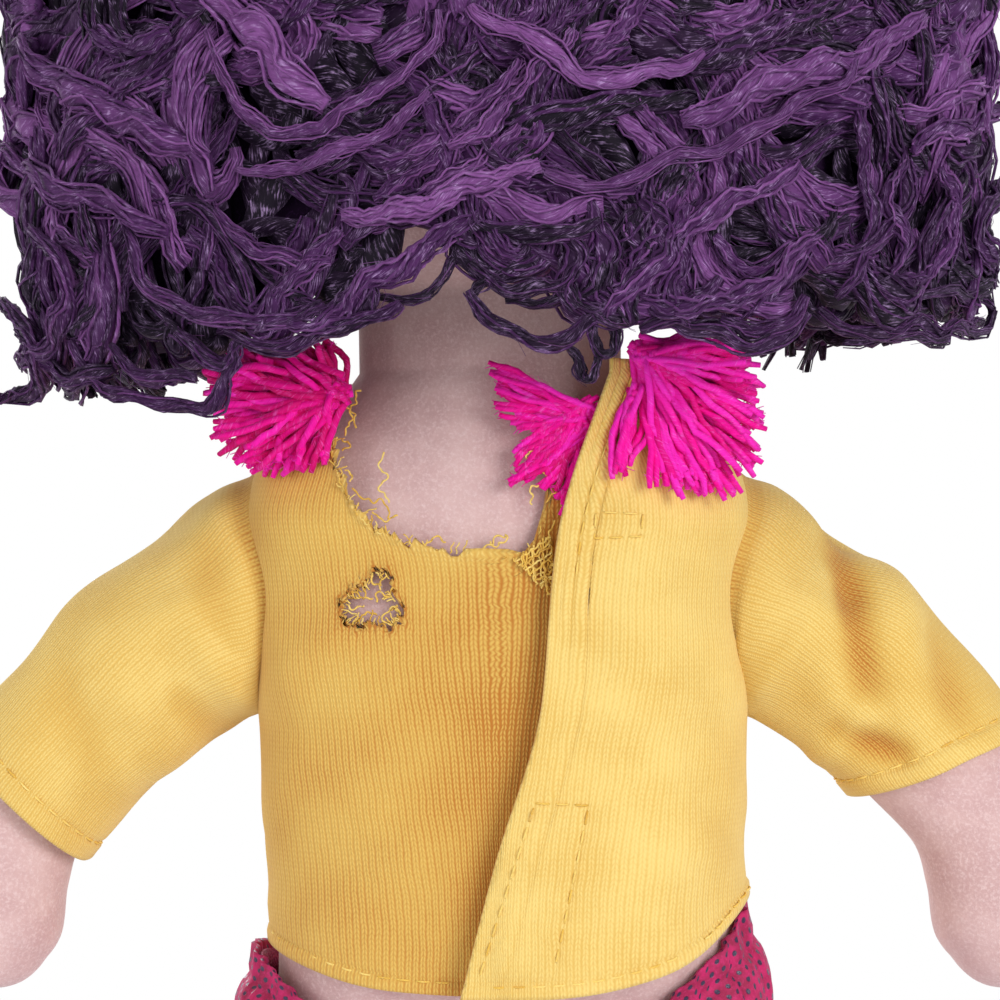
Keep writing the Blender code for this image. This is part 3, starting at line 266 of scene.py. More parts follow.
def spline(knots, count):
    # an even-length path of count points on a smooth curve through the knots
    knots = np.asarray(knots, float)
    k = arange(len(knots))
    t = linspace(0, len(knots) - 1, max(60, 12 * len(knots)))
    padded = concatenate([2 * knots[:1] - knots[1:2], knots, 2 * knots[-1:] - knots[-2:-1]])
    i = clip(np.floor(t).astype(int), 0, len(knots) - 2)
    f = (t - k[i])[:, None]
    a, b, c, d = (padded[i + n] for n in range(4))
    fine = 0.5 * (2 * b + (c - a) * f + (2 * a - 5 * b + 4 * c - d) * f**2 + (3 * b - a - 3 * c + d) * f**3)
    return evenly(fine, count)


def evenly(path, count):
    run = lengthAlong(path)
    at = linspace(0, run[-1], count)
    return np.stack([np.interp(at, run, path[:, n]) for n in range(3)], axis=-1)


def outwardFaces(obj):
    # turns a closed mesh right side out if its volume comes out negative
    mesh = obj.data
    mesh.calc_loop_triangles()
    co = np.empty(len(mesh.vertices) * 3)
    mesh.vertices.foreach_get("co", co)
    co = co.reshape(-1, 3)
    tri = np.empty(len(mesh.loop_triangles) * 3, int)
    mesh.loop_triangles.foreach_get("vertices", tri)
    a, b, c = (co[tri.reshape(-1, 3)[:, n]] for n in range(3))
    if (np.cross(a, b) * c).sum() < 0:
        mesh.flip_normals()


# materials

class Value:
    # what comes out of a shader node, so that sums of it read like sums of numbers
    def __init__(self, socket):
        self.socket, self.tree = socket, socket.id_data

    def apply(self, operation, other=0.0, first=None):
        start = self if first is None else first
        return node(self.tree, "ShaderNodeMath", {0: start, 1: other}, operation=operation)

    def __add__(self, other):
        return self.apply("ADD", other)

    def __sub__(self, other):
        return self.apply("SUBTRACT", other)

    def __rsub__(self, other):
        return self.apply("SUBTRACT", self, other)

    def __mul__(self, other):
        return self.apply("MULTIPLY", other)

    def __truediv__(self, other):
        return self.apply("DIVIDE", other)


def setInputs(made, inputs):
    # shader values are linked, numbers and colours go into the sockets themselves
    for key, value in inputs.items():
        if isinstance(value, Value):
            value.tree.links.new(value.socket, made.inputs[key])
        else:
            made.inputs[key].default_value = value


def node(tree, kind, inputs=None, output=0, **settings):
    made = tree.nodes.new(kind)
    for key, value in settings.items():
        setattr(made, key, value)
    setInputs(made, inputs or {})
    return Value(made.outputs[output])


def newMaterial(name):
    made = bpy.data.materials.new(name)
    made.use_nodes = True
    return made, made.node_tree


def mixed(factor, a, b):
    # from colour a to colour b, each a shader value or a screen colour
    a, b = (colour if isinstance(colour, Value) else linear(*colour) for colour in (a, b))
    return node(factor.tree, "ShaderNodeMix", {0: factor, 6: a, 7: b}, 2, data_type="RGBA")


def spread(value, fromLow, fromHigh, low=0.0, high=1.0):
    inputs = {0: value, 1: fromLow, 2: fromHigh, 3: low, 4: high}
    return node(value.tree, "ShaderNodeMapRange", inputs, interpolation_type="SMOOTHSTEP")


def noiseAt(place, scale, detail=3.0, rough=0.55, distortion=0.0):
    inputs = {"Vector": place, "Scale": scale, "Detail": detail, "Roughness": rough, "Distortion": distortion}
    return node(place.tree, "ShaderNodeTexNoise", inputs)


def objectPlace(tree):
    return node(tree, "ShaderNodeTexCoord", output="Object")


def toneOf(tree):
    return node(tree, "ShaderNodeAttribute", output="Fac", attribute_name="tone")


def separated(place):
    made = node(place.tree, "ShaderNodeSeparateXYZ", {0: place}).socket.node
    return [Value(socket) for socket in made.outputs]


def uvParts(tree):
    return separated(node(tree, "ShaderNodeUVMap"))[:2]


def setFinish(tree, colour, height, bump, strength, roughness, sheen=0.0, sheenTint=(1, 1, 1, 1),
              sheenRoughness=0.5, specular=0.3):
    # bump is how deep the height's relief is in metres
    inputs = {"Height": height, "Distance": bump, "Strength": strength}
    setInputs(tree.nodes["Principled BSDF"], {
        "Base Color": colour, "Normal": node(tree, "ShaderNodeBump", inputs), "Roughness": roughness,
        "Sheen Weight": sheen, "Sheen Tint": sheenTint, "Sheen Roughness": sheenRoughness,
        "Specular IOR Level": specular,
    })


def jerseyMaterial(name, wale, course, pale, middle, deep):
    # knitted jersey: in each wale two leaning legs of every stitch, with painted shade darkening the grooves
    # between the wales
    made, tree = newMaterial(name)
    u, v = uvParts(tree)
    sway = (noiseAt(node(tree, "ShaderNodeUVMap"), 210.0, 2.0) - 0.5) * (0.55 * mm)
    centre = (((u + sway) / wale).apply("FRACT") - 0.5).apply("ABSOLUTE") * 2.0
    inCourse = (v / course + centre * 0.75).apply("FRACT")
    stitch = (inCourse * math.pi).apply("SINE")
    leg = (spread(centre, -0.2, 1.05) * math.pi).apply("SINE")
    height = leg * (stitch * 0.55 + 0.45)
    tone = toneOf(tree)
    patches = noiseAt(objectPlace(tree), 95.0, 3.0)
    fluff = noiseAt(objectPlace(tree), 2600.0, 2.0)
    # the low parts between the legs and between the wales darken as painted shade, more where tone is high;
    # tone also deepens the whole colour
    shade = (1.0 - height) * (tone * 0.6 + 0.36) + tone * 0.75
    shade = shade + (patches - 0.5) * 0.5 + (fluff - 0.5) * 0.3
    colour = mixed(spread(shade, 0.0, 0.55), pale, middle)
    colour = mixed(spread(shade, 0.5, 1.35), colour, deep)
    setFinish(tree, colour, height + fluff * 0.2, 0.13 * mm, 0.65, 0.92, 0.25, (1, 0.93, 0.7, 1), 0.6, 0.15)
    return made


def velourMaterial(name, base, pale, deep):
    # short nap: fine specks, soft patches where the pile leans, and sheen at the rims
    made, tree = newMaterial(name)
    place = objectPlace(tree)
    nap = noiseAt(place, 2300.0, 3.0, 0.7)
    specks = noiseAt(place, 5200.0, 2.0)
    colour = mixed(spread(noiseAt(place, 130.0, 4.0), 0.3, 0.72), deep, base)
    colour = mixed(spread(nap, 0.42, 0.75) * 0.6, colour, pale)
    height = nap * 0.7 + specks * 0.4
    setFinish(tree, colour, height, 0.22 * mm, 0.55, 0.95, 0.45, (1, 0.9, 0.92, 1), 0.45, 0.12)
    return made


def yarnMaterial(name, colours, fibre, twist, bump, sheen, across=9.0):
    # yarn: fine fibres that run along and slightly round it, each strand with its own tone; streaks of
    # painted highlight on the fibres and painted shade between them
    made, tree = newMaterial(name)
    u, v = uvParts(tree)
    place = node(tree, "ShaderNodeCombineXYZ", {0: (u + v * twist) * across, 1: v * fibre})
    streaks = noiseAt(place, 1.0, 4.0, 0.65)
    clumps = noiseAt(objectPlace(tree), 700.0, 3.0, 0.65)
    patches = noiseAt(objectPlace(tree), 75.0, 2.0)
    low, middle, high, paintedHighlight = colours
    shade = toneOf(tree) + (patches - 0.5) * 0.5
    colour = mixed(spread(shade, 0.0, 0.5), low, middle)
    colour = mixed(spread(shade, 0.45, 1.0), colour, high)
    light = streaks * 0.75 + clumps * 0.36
    # painted highlight: the lit streaks of the fibres go towards the palest colour
    colour = mixed(spread(light, 0.56, 0.8) * 0.85, colour, paintedHighlight)
    # painted shade: the streaks between the fibres go back towards the darkest colour
    colour = mixed(spread(light, 0.54, 0.36) * 0.6, colour, low)
    setFinish(tree, colour, light, bump, 1.0, 0.62, sheen, linear(*paintedHighlight), 0.4, 0.16)
    return made


def foilVelourMaterial(name, pitch, crushed, raised, pale, foil, shine):
    # crushed velour with staggered foil dots, in UV metres
    made, tree = newMaterial(name)
    u, v = uvParts(tree)
    place = objectPlace(tree)
    row = v / (pitch * 0.8)
    odd = row.apply("FLOOR").apply("MODULO", 2.0) * 0.5
    a = ((u / pitch + odd).apply("FRACT") - 0.5) * pitch
    b = (row.apply("FRACT") - 0.5) * (pitch * 0.8)
    reach = (a * a + b * b).apply("SQRT")
    dot = spread(reach + noiseAt(place, 900.0, 3.0) * (0.22 * mm), 0.52 * mm, 0.36 * mm)
    crush = noiseAt(place, 430.0, 4.0, 0.6)
    nap = noiseAt(place, 1900.0, 3.0, 0.7)
    colour = mixed(spread(crush, 0.32, 0.68), crushed, raised)
    colour = mixed(spread(nap, 0.5, 0.8) * 0.5, colour, pale)
    colour = mixed(dot, colour, foil)
    height = nap * 0.5 + crush * 1.2 - dot * 0.3
    roughness = spread(dot, 0.0, 1.0, 0.72, 0.28)
    setFinish(tree, colour, height, 0.3 * mm, 0.6, roughness, 0.35, linear(*shine), 0.35, 0.5)
    return made


def tapeMaterial(name, colour, pale, size):
    # hook or loop tape: a dense field of tiny bumps on a woven ground
    made, tree = newMaterial(name)
    uv = node(tree, "ShaderNodeUVMap")
    dots = node(tree, "ShaderNodeTexVoronoi", {"Vector": uv, "Scale": 1 / size}, "Distance")
    height = noiseAt(uv, 3000.0, 2.0) - dots * 1.5
    setFinish(tree, mixed(spread(dots, 0.1, 0.6), pale, colour), height, 0.2 * mm, 0.8, 0.6, 0.1)
    return made


def feltMaterial(name, base, pale, deep):
    # felt: tangled short fibres, in two sizes of noise
    made, tree = newMaterial(name)
    place = objectPlace(tree)
    tangle = noiseAt(place, 900.0, 5.0, 0.5, 2.5)
    colour = mixed(spread(noiseAt(place, 160.0, 3.0), 0.3, 0.7), deep, base)
    colour = mixed(spread(tangle, 0.5, 0.75) * 0.6, colour, pale)
    setFinish(tree, colour, tangle, 0.25 * mm, 0.7, 0.93, 0.35, linear(*pale), 0.5, 0.12)
    return made


jersey = jerseyMaterial("jersey", 0.88 * mm, 0.66 * mm, (245, 214, 130), (224, 182, 92), (190, 120, 46))
skinVelour = velourMaterial("skinVelour", (222, 188, 186), (240, 216, 216), (204, 166, 166))
# each yarn's colours run low, middle, high, then the painted highlight of its fibres; low also paints the
# shade between fibres
hairYarn = yarnMaterial(
    "hairYarn", ((14, 3, 21), (72, 31, 84), (134, 79, 145), (204, 168, 224)),
    fibre=520.0, twist=200.0, bump=0.18 * mm, sheen=0.12, across=11.0,
)
# the core's dark felt colours are painted shade, for the yarn deep under the locks
shadedCoreYarn = feltMaterial("shadedCoreYarn", (34, 13, 42), (60, 29, 72), (18, 6, 25))
pinkYarn = yarnMaterial(
    "pinkYarn", ((210, 0, 104), (252, 4, 160), (255, 40, 196), (255, 120, 226)),
    fibre=500.0, twist=500.0, bump=0.12 * mm, sheen=0.3,
)
yellowThread = yarnMaterial(
    "yellowThread", ((200, 140, 50), (240, 196, 88), (252, 222, 130), (255, 240, 180)),
    fibre=700.0, twist=900.0, bump=0.08 * mm, sheen=0.2,
)
foilVelour = foilVelourMaterial(
    "foilVelour", 1.6 * mm, crushed=(150, 8, 66), raised=(196, 20, 98), pale=(226, 62, 138),
    foil=(44, 30, 66), shine=(255, 120, 190),
)
hookTape = tapeMaterial("hookTape", (226, 186, 96), (250, 226, 150), 0.45 * mm)
loopTape = tapeMaterial("loopTape", (222, 180, 92), (246, 220, 150), 0.25 * mm)
shoeFelt = feltMaterial("shoeFelt", (206, 42, 112), (238, 110, 165), (168, 22, 84))
soleFelt = feltMaterial("soleFelt", (226, 218, 204), (246, 242, 232), (200, 190, 174))
capCloth = feltMaterial("capCloth", (40, 22, 50), (84, 56, 96), (22, 12, 30))
elasticCloth = tapeMaterial("elasticCloth", (176, 40, 96), (214, 84, 136), 0.5 * mm)
darkThread = yarnMaterial(
    "darkThread", ((20, 12, 22), (44, 28, 48), (60, 40, 64), (110, 90, 120)),
    fibre=900.0, twist=600.0, bump=0.06 * mm, sheen=0.1,
)
roseThread = yarnMaterial(
    "roseThread", ((150, 40, 60), (190, 66, 88), (208, 90, 108), (236, 150, 160)),
    fibre=900.0, twist=600.0, bump=0.06 * mm, sheen=0.1,
)
print("materials ready")


# the doll's sizes, as in the CAD

joint = {"shoulderZ": 0.186, "neckZ": 0.214, "armX": 0.0323, "hipX": 0.0165}
chest = {"halfWidth": 29.7 * mm, "halfDepth": 18.6 * mm}
neck = {"halfWidth": 16.5 * mm, "halfDepth": 14.5 * mm}
body = {
    "height": (0.1202, 0.128, 0.1325, 0.138, 0.150, 0.166, 0.182, 0.194, 0.201, 0.207, 0.214),
    "width": (
        *(chest["halfWidth"] * s for s in (0.85, 0.97, 1.02, 1.02, 0.975, 0.985, 1.0, 0.995, 0.90, 0.72)),
        neck["halfWidth"],
    ),
    "depth": (
        *(chest["halfDepth"] * s for s in (0.05, 0.52, 0.80, 1.0, 1.02, 1.03, 1.0, 0.97, 0.89, 0.82)),
        neck["halfDepth"],
    ),
    "squareness": (4.0, 2.6, 2.4, 2.3, 2.5, 3.0, 3.5, 3.4, 3.0, 2.5, 2.0),
}
head = {
    "z": 0.262, "halfWidth": 38 * mm, "halfDepth": 31 * mm, "halfHeight": 42 * mm,
    "neckTop": 0.2205, "jaw": 0.2267,
}
shirt = {
    "ease": 0.7 * mm, "collarZ": 0.2155, "collarEaseX": 5.5 * mm, "collarEaseY": 1.7 * mm, "hangZ": 0.145,
    "hemZ": 0.1355, "hemLeftZ": 0.1405, "hemRightZ": 0.1465, "armhole": 14.3 * mm, "armholeY": 12.4 * mm,
    "frontNeckZ": 0.2045, "neckSideZ": 0.213, "cloth": 0.6 * mm,
    "hingeTopX": -16.8 * mm, "hingeHemX": -20.5 * mm, "rise": 3.2 * mm, "slack": 11 * mm,
    "flapLift": 2.8 * mm, "hemWidth": 1.6 * mm, "stitchHem": 0.138, "flareZ": 0.182,
    "chestZ": 0.165, "middleZ": 0.1755, "seenTopZ": 0.2125, "tornTopZ": 0.209, "tapeGap": 3.7 * mm,
}
torn = {
    # the torn neckline in picture points, from the left shoulder to where it goes under the flap
    "px": (225, 262, 300, 330, 341, 347, 360, 385, 420, 470, 518, 538, 545, 552, 580, 640),
    "py": (470, 452, 436, 424, 440, 476, 508, 530, 545, 551, 557, 530, 478, 444, 436, 436),
    "depth": (8, 12, 15, 17, 17.5, 18, 18.5, 18.8, 19, 19, 19, 19, 19, 18.5, 18.5, 18.5),
}
flapEdge = {
    # where the flap's free edge is, at shares of the height from hem to collar
    "height": (0.0, 0.21, 0.46, 0.70, 0.975),
    "x": tuple(chest["halfWidth"] * s for s in (0.14, 0.012, -0.160, -0.212, -0.398)),
}


def bodySection(z):
    # half width, half depth and squareness of the body at a height
    return (
        profile(body, "width", z),
        profile(body, "depth", z),
        profile(body, "squareness", z),
    )


def shirtSection(z, lift=0.0):
    # the shirt's inner face: the body and its ease, standing off the neck at the collar
    width, depth, squareness = bodySection(np.maximum(z, shirt["hangZ"]))
    high = rise(z, shirt["flareZ"], shirt["collarZ"] - shirt["flareZ"])
    return (
        width + shirt["ease"] + shirt["collarEaseX"] * high + lift,
        depth + shirt["ease"] + shirt["collarEaseY"] * high + lift,
        squareness + high,
    )


def sideShift(x, z):
    # the torso isn't even: narrower at the left hem, fuller down the right side
    left = -1.5 * mm * rise(x, 13 * mm, 15 * mm) * bell((z - 0.137) / 0.011)
    right = -1.5 * mm * rise(-x, 13 * mm, 15 * mm)
    return left + right * rise(z, 0.124, 0.008) * rise(0.181, z, 0.010)


def shirtPoints(turn, z, lift=0.0):
    width, depth, squareness = shirtSection(z, lift)
    x, y = oval(width, depth, squareness, turn)
    return xyz(x + sideShift(x, z), y, z)


def turnAtX(x, z):
    width, _, squareness = shirtSection(z)
    return np.arccos(np.sign(x) * clip(np.abs(x) / width, 0, 1) ** (squareness / 2))


def onShirt(x, z, lift):
    # a place on the back of the shirt, lift off its inner face
    x, z = np.broadcast_arrays(np.asarray(x, float), np.asarray(z, float))
    return shirtPoints(turnAtX(x, z), z, lift)


def sideTurn(z):
    _, depth, squareness = shirtSection(z)
    level = (z - joint["shoulderZ"]) / shirt["armhole"]
    notch = shirt["armholeY"] * np.sqrt(clip(1 - level**2, 0, None))
    return np.arcsin(clip((0.1 * mm + notch) / depth, 0, 1) ** (squareness / 2))


def hemZ(turn):
    side = where(cos(turn) > 0, shirt["hemLeftZ"], shirt["hemRightZ"])
    return shirt["hemZ"] + (side - shirt["hemZ"]) * np.abs(cos(turn)) ** 2.4


def collarZ(turn):
    front = shirt["frontNeckZ"] + (shirt["neckSideZ"] - shirt["frontNeckZ"]) * cos(turn) ** 2
    behind = shirt["neckSideZ"] + (shirt["collarZ"] - shirt["neckSideZ"]) * np.abs(sin(turn))
    return where(sin(turn) < 0, front, behind)


def tornZ(turn):
    # the torn neckline's height, without its ragged threads
    spots = seen(torn["px"], torn["py"], array(torn["depth"]) * mm)
    turns = turnAtX(spots[:, 0], np.minimum(spots[:, 2], shirt["tornTopZ"]))
    return np.interp(turn, turns, spots[:, 2])


def ragged(turn):
    waves = ((0.5, 61, 0), (0.4, 113, 1), (0.3, 199, 2))
    return sum(size * mm * sin(turn * rate + phase) for size, rate, phase in waves)


def hingeX(z):
    share = (z - shirt["hemZ"]) / (shirt["collarZ"] - shirt["hemZ"])
    return shirt["hingeHemX"] + (shirt["hingeTopX"] - shirt["hingeHemX"]) * share


def flapEdgeX(z):
    share = (z - shirt["hemZ"]) / (shirt["collarZ"] - shirt["hemZ"])
    return profile(flapEdge, "x", share)


def ridge(x, z, a, b, width, height):
    # a soft fold from a to b: a bell curve across the line, fading at its ends
    a, b = array(a), array(b)
    way = b - a
    t = ((x - a[0]) * way[0] + (z - a[1]) * way[1]) / (way @ way)
    near = clip(t, 0, 1)
    off = np.hypot(x - a[0] - near * way[0], z - a[1] - near * way[1])
    return height * bell(off / width) * clip(1.25 - np.abs(t - 0.5), 0, 1)


def flatXZ(px, py):
    spot = seen(px, py, camera["planeY"])
    return float(spot[0]), float(spot[2])


def panelGrid(left, right, top, columns, rows, bottom=hemZ):
    # turns and heights of a panel between its two side edges, its hem and its upper edge
    up = linspace(0, 1, rows)[:, None]
    across = linspace(0, 1, columns)[None, :]
    edges = []
    for edge in (left, right):
        turn = edge(np.full(rows, shirt["middleZ"]))
        for _ in range(8):
            turn = edge(bottom(turn) + (top(turn) - bottom(turn)) * up[:, 0])
        edges.append(turn[:, None])
    turn = edges[0] + (edges[1] - edges[0]) * across
    return turn, bottom(turn) + (top(turn) - bottom(turn)) * up


def panelFlat(turn, z):
    # the cloth laid flat: the way round the chest, and the height
    turns = linspace(-math.pi, math.pi, 1600)
    level = np.full(len(turns), shirt["chestZ"])
    run = lengthAlong(np.stack(oval(*shirtSection(level), turns), axis=-1))
    return np.stack([np.interp(turn, turns, run), z], axis=-1)


def hemBand(z, turn):
    # the turned hem: a little thicker, with a groove at its stitch line
    above = z - hemZ(turn)
    band = 0.35 * mm * (1 - rise(above, 1.4 * mm, 0.5 * mm))
    return band - 0.25 * mm * bell((above - shirt["hemWidth"]) / (0.35 * mm))


# body, neck and head

def headSection(z):
    level = clip((z - head["z"]) / head["halfHeight"], -0.9999, 0.9999)
    reach = np.sqrt(1 - level**2)
    onNeck = rise(z, head["neckTop"], head["jaw"] - head["neckTop"])
    sizes = []
    for key in ("halfWidth", "halfDepth"):
        size = np.maximum(head[key] * reach, neck[key])
        sizes.append(where(z < head["z"], neck[key] + (size - neck[key]) * onNeck, head[key] * reach))
    return sizes


def makeBody():
    levels = sin(linspace(math.asin(-0.84), math.asin(0.9995), 90))
    z = concatenate([
        linspace(body["height"][0], joint["neckZ"], 120)[:-1],
        linspace(joint["neckZ"], head["jaw"], 16)[:-1],
        head["z"] + head["halfHeight"] * levels,
    ])
    turn = around(112)
    width, depth, squareness = bodySection(np.minimum(z, joint["neckZ"]))
    headWidth, headDepth = headSection(z)
    over = z > joint["neckZ"]
    width, depth = where(over, headWidth, width), where(over, headDepth, depth)
    x, y = oval(width[:, None], depth[:, None], squareness[:, None], turn)
    points = xyz(x, y, z[:, None])
    way = unit(points * array([1, 1, 0]))
    inFace = rise(-y, 8 * mm, 10 * mm) * rise(z[:, None], 0.222, 10 * mm)
    cheeks = 1.1 * mm * np.exp(-((np.abs(x) - 14 * mm) ** 2 + (z[:, None] - 0.2465) ** 2) / (9 * mm) ** 2)
    stuffed = ripple(points, 19 * mm, 3) * 0.28 * mm
    points = points + way * (cheeks * inFace + stuffed - 0.1 * mm)[..., None]
    neckBand = rise(z, 0.196, 9 * mm) * rise(0.229, z, 8 * mm)
    fuller = 1.9 * mm * neckBand[:, None] * smooth(cos(turn))
    points[..., 0] += fuller + sideShift(points[..., 0], points[..., 2])
    skin = closedSkin("bodyAndHeadSkin", points, skinVelour)
    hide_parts("torso_skin", "torso_stuffing", "head_skin", "head_stuffing")
    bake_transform(skin)
    return skin


makeBody()
print("body and head made")


# shirt

shirtFolds = {
    # from and to in picture points, then width and height in mm
    "left": (
        (270, 700, 330, 640, 3.0, 0.5), (262, 830, 300, 760, 2.5, 0.35), (300, 950, 420, 860, 4.0, 0.4),
        (420, 960, 500, 800, 4.0, -0.5), (250, 560, 300, 700, 2.5, 0.35), (380, 830, 470, 900, 5.0, 0.35),
    ),
    "right": (
        (740, 690, 690, 640, 3.0, 0.5), (742, 820, 700, 760, 2.5, 0.4), (745, 900, 690, 850, 2.2, 0.45),
        (600, 900, 680, 840, 4.0, 0.3), (640, 560, 600, 700, 4.0, 0.35), (690, 520, 720, 640, 2.5, 0.3),
        (560, 760, 620, 740, 3.0, -0.35),
    ),
}


def foldsOf(table, points):
    # the ridges of a table of folds, at each point
    x, z = points[..., 0], points[..., 2]
    return sum(
        ridge(x, z, flatXZ(*ends[:2]), flatXZ(*ends[2:]), width * mm, height * mm)
        for *ends, width, height in table
    )


def addStitches(name, line, away, lift, owner, closed=False, length=1.7 * mm, gap=0.8 * mm, radius=0.13 * mm,
                thread=None, slot="jersey"):
    # short straight stitches along a line, each end dipping into the cloth
    if closed:
        line, away = concatenate([line, line[:1]]), concatenate([away, away[:1]])
    run = lengthAlong(line)
    starts = arange(0.2 * mm, run[-1] - length, length + gap)
    t = linspace(0, 1, 7)
    at = starts[:, None] + t[None] * length
    paths = np.stack([np.interp(at, run, line[:, n]) for n in range(3)], axis=-1)
    ways = unit(np.stack([np.interp(at, run, away[:, n]) for n in range(3)], axis=-1))
    paths = paths + ways * (lift + 0.28 * mm * (sin(t * math.pi)[None, :, None] - 0.5))
    tone = np.random.default_rng(9).uniform(0.3, 0.9, len(paths))
    stitches = tubeObject(name, [tubes(paths, radius, 6, 2, 0.15, 6000.0, tone)], thread or yellowThread)
    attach(stitches, owner)


def makeShirtFront():
    turn, z = panelGrid(lambda z: -math.pi + sideTurn(z), lambda z: -sideTurn(z), collarZ, 96, 110)
    base = shirtPoints(turn, z)
    drape = ripple(base, 22 * mm, 11) * 0.35 * mm + hemBand(z, turn) + 0.15 * mm
    below = collarZ(turn) - z
    drape = drape + 0.4 * mm * (1 - rise(below, 1.8 * mm, 0.5 * mm))
    drape = drape - 0.25 * mm * bell((below - 2.0 * mm) / (0.35 * mm))
    points = shirtPoints(turn, z, np.maximum(drape, 0.0))
    tone = 0.12 + 0.04 * ripple(points, 25 * mm, 12)
    cloth = gridSurface("shirtFront", points, jersey, tones=tone, flat=panelFlat(turn, z))
    addWall(cloth, shirt["cloth"])
    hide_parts("shirt_front")
    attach(cloth, "torso")


hole = {
    "px": 374, "py": 603, "radius": 3.9 * mm,
    "shares": (1.0, 0.72, 0.55, 0.95, 1.08, 0.66, 0.8, 1.1, 0.92, 0.58, 0.86, 1.08),
}


def holeReach(angle):
    # how far the hole goes at each angle
    shares = array(hole["shares"] + hole["shares"][:1])
    return hole["radius"] * np.interp(angle % full, linspace(0, full, len(shares)), shares)


def makeShirtBackLeft():
    turn, z = panelGrid(sideTurn, lambda z: turnAtX(hingeX(z) + shirt["tapeGap"], z), tornZ, 152, 144)
    up = linspace(0, 1, 144)[:, None]
    z = z + ragged(turn) * rise(up, 0.94, 0.06)
    base = shirtPoints(turn, z)
    x = base[..., 0]
    behind = base[..., 1] > 0
    folds = foldsOf(shirtFolds["left"], base) * behind
    drape = folds + ripple(base, 20 * mm, 21) * 0.3 * mm + hemBand(z, turn) + 0.3 * mm
    below = clip(tornZ(turn) - z, 0, None)
    curl = 0.9 * mm * np.exp(-below / (1.0 * mm)) * rise(x, -3 * mm, 4 * mm)
    under = smooth((flapEdgeX(z) + 2 * mm - x) / (3 * mm))
    drape = np.maximum(drape, 0.0) * (1 - under) + 0.05 * mm * under + curl * (1 - under)
    points = shirtPoints(turn, z, drape)
    # the hole: points inside its ragged outline move out to it, and the faces there go
    holeX, holeZ = flatXZ(hole["px"], hole["py"])
    offX, offZ = points[..., 0] - holeX, points[..., 2] - holeZ
    reach, angle = np.hypot(offX, offZ), np.arctan2(offZ, offX)
    edge = holeReach(angle) * (1 + 0.08 * sin(angle * 17) + 0.06 * sin(angle * 29))
    inside = (reach < edge) & (points[..., 1] > 0)
    grow = where(inside, edge / np.maximum(reach, 1e-9), 1.0)
    points[..., 0] = holeX + offX * grow
    points[..., 2] = holeZ + offZ * grow
    near = np.exp(-clip(reach - edge, 0, None) / (0.9 * mm)) * (points[..., 1] > 0)
    points[..., 1] += 0.5 * mm * near
    quads = gridQuads(*turn.shape, False)[0]
    keep = ~inside.ravel()[quads].all(axis=1)
    ladderX, ladderZ = flatXZ(480, 680)
    ladder = np.exp(-(((x - ladderX) / (9 * mm)) ** 2) - ((z - ladderZ) / (14 * mm)) ** 2)
    # tone rises near the flap's free edge: painted shadow that the flap casts on this panel
    seam = np.exp(-np.abs(x - flapEdgeX(z)) / (4.0 * mm))
    rim = np.exp(-below / (1.6 * mm))
    tone = 0.48 + 0.18 * ladder + 0.36 * seam + 0.1 * ripple(points, 12 * mm, 22) + 0.25 * near - 0.25 * rim
    cloth = gridSurface("shirtBackLeft", points, jersey, tones=tone, keep=keep, flat=panelFlat(turn, z))
    addWall(cloth, shirt["cloth"])
    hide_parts("shirt_back_left")
    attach(cloth, "torso")


def flapDrape(x, z):
    # over the tapes beyond the hinge, with a folded double band and its lines along the free edge
    lift = shirt["flapLift"] * smooth((x - hingeX(z) + shirt["slack"]) / (shirt["rise"] + shirt["slack"]))
    fromEdge = flapEdgeX(z) - x
    band = 0.45 * mm * (1 - rise(fromEdge, 4.0 * mm, 0.7 * mm))
    high = rise(z, 0.176, 10 * mm)
    lines = sum(
        depth * mm * bell((fromEdge - at * mm) / (0.3 * mm))
        for at, depth in ((1.3, -0.22), (2.7, -0.25), (4.3, -0.35))
    )
    roll = 0.5 * mm * np.exp(-fromEdge / (0.9 * mm))
    return lift + band + lines * (0.2 + 0.8 * high) + roll


def rightDrape(x, z, turn):
    # how far the right back panel stands off: folds, flap, hem and tape
    base = np.stack(np.broadcast_arrays(x, 0.017, z), axis=-1)
    over = rise(x, hingeX(z), shirt["rise"])
    folds = foldsOf(shirtFolds["right"], base) + ripple(base * array([1, 0, 1]), 18 * mm, 31) * 0.3 * mm
    drape = flapDrape(x, z) + hemBand(z, turn) + folds + tapeRelief(x, z) + 0.3 * mm
    return np.maximum(drape, shirt["flapLift"] * over)


def makeShirtBackRight():
    turn, z = panelGrid(
        lambda z: turnAtX(flapEdgeX(z), z), lambda z: math.pi - sideTurn(z), collarZ, 132, 128
    )
    base = shirtPoints(turn, z)
    x = base[..., 0]
    points = shirtPoints(turn, z, rightDrape(x, z, turn))
    shade = 0.06 * ripple(points, 12 * mm, 32) + 0.5 * clip(-ripple(points, 30 * mm, 33), 0, 1) * 0.12
    fromEdge = flapEdgeX(z) - x
    high = rise(z, 0.176, 10 * mm)
    # tone rises along the two grooves of the folded band, 2.7 and 4.3 mm in from the free edge: painted shade
    # in them
    tone = 0.04 + shade + 0.3 * high * bell((fromEdge - 2.7 * mm) / (0.3 * mm))
    tone = tone + (0.1 + 0.15 * high) * bell((fromEdge - 4.3 * mm) / (0.35 * mm))
    cloth = gridSurface("shirtBackRight", points, jersey, tones=tone, flat=panelFlat(turn, z))
    addWall(cloth, shirt["cloth"])
    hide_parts("shirt_back_right", "back_flap")
    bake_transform(cloth)


tapeOutline = ((530, 800), (578, 803), (545, 978), (482, 972))


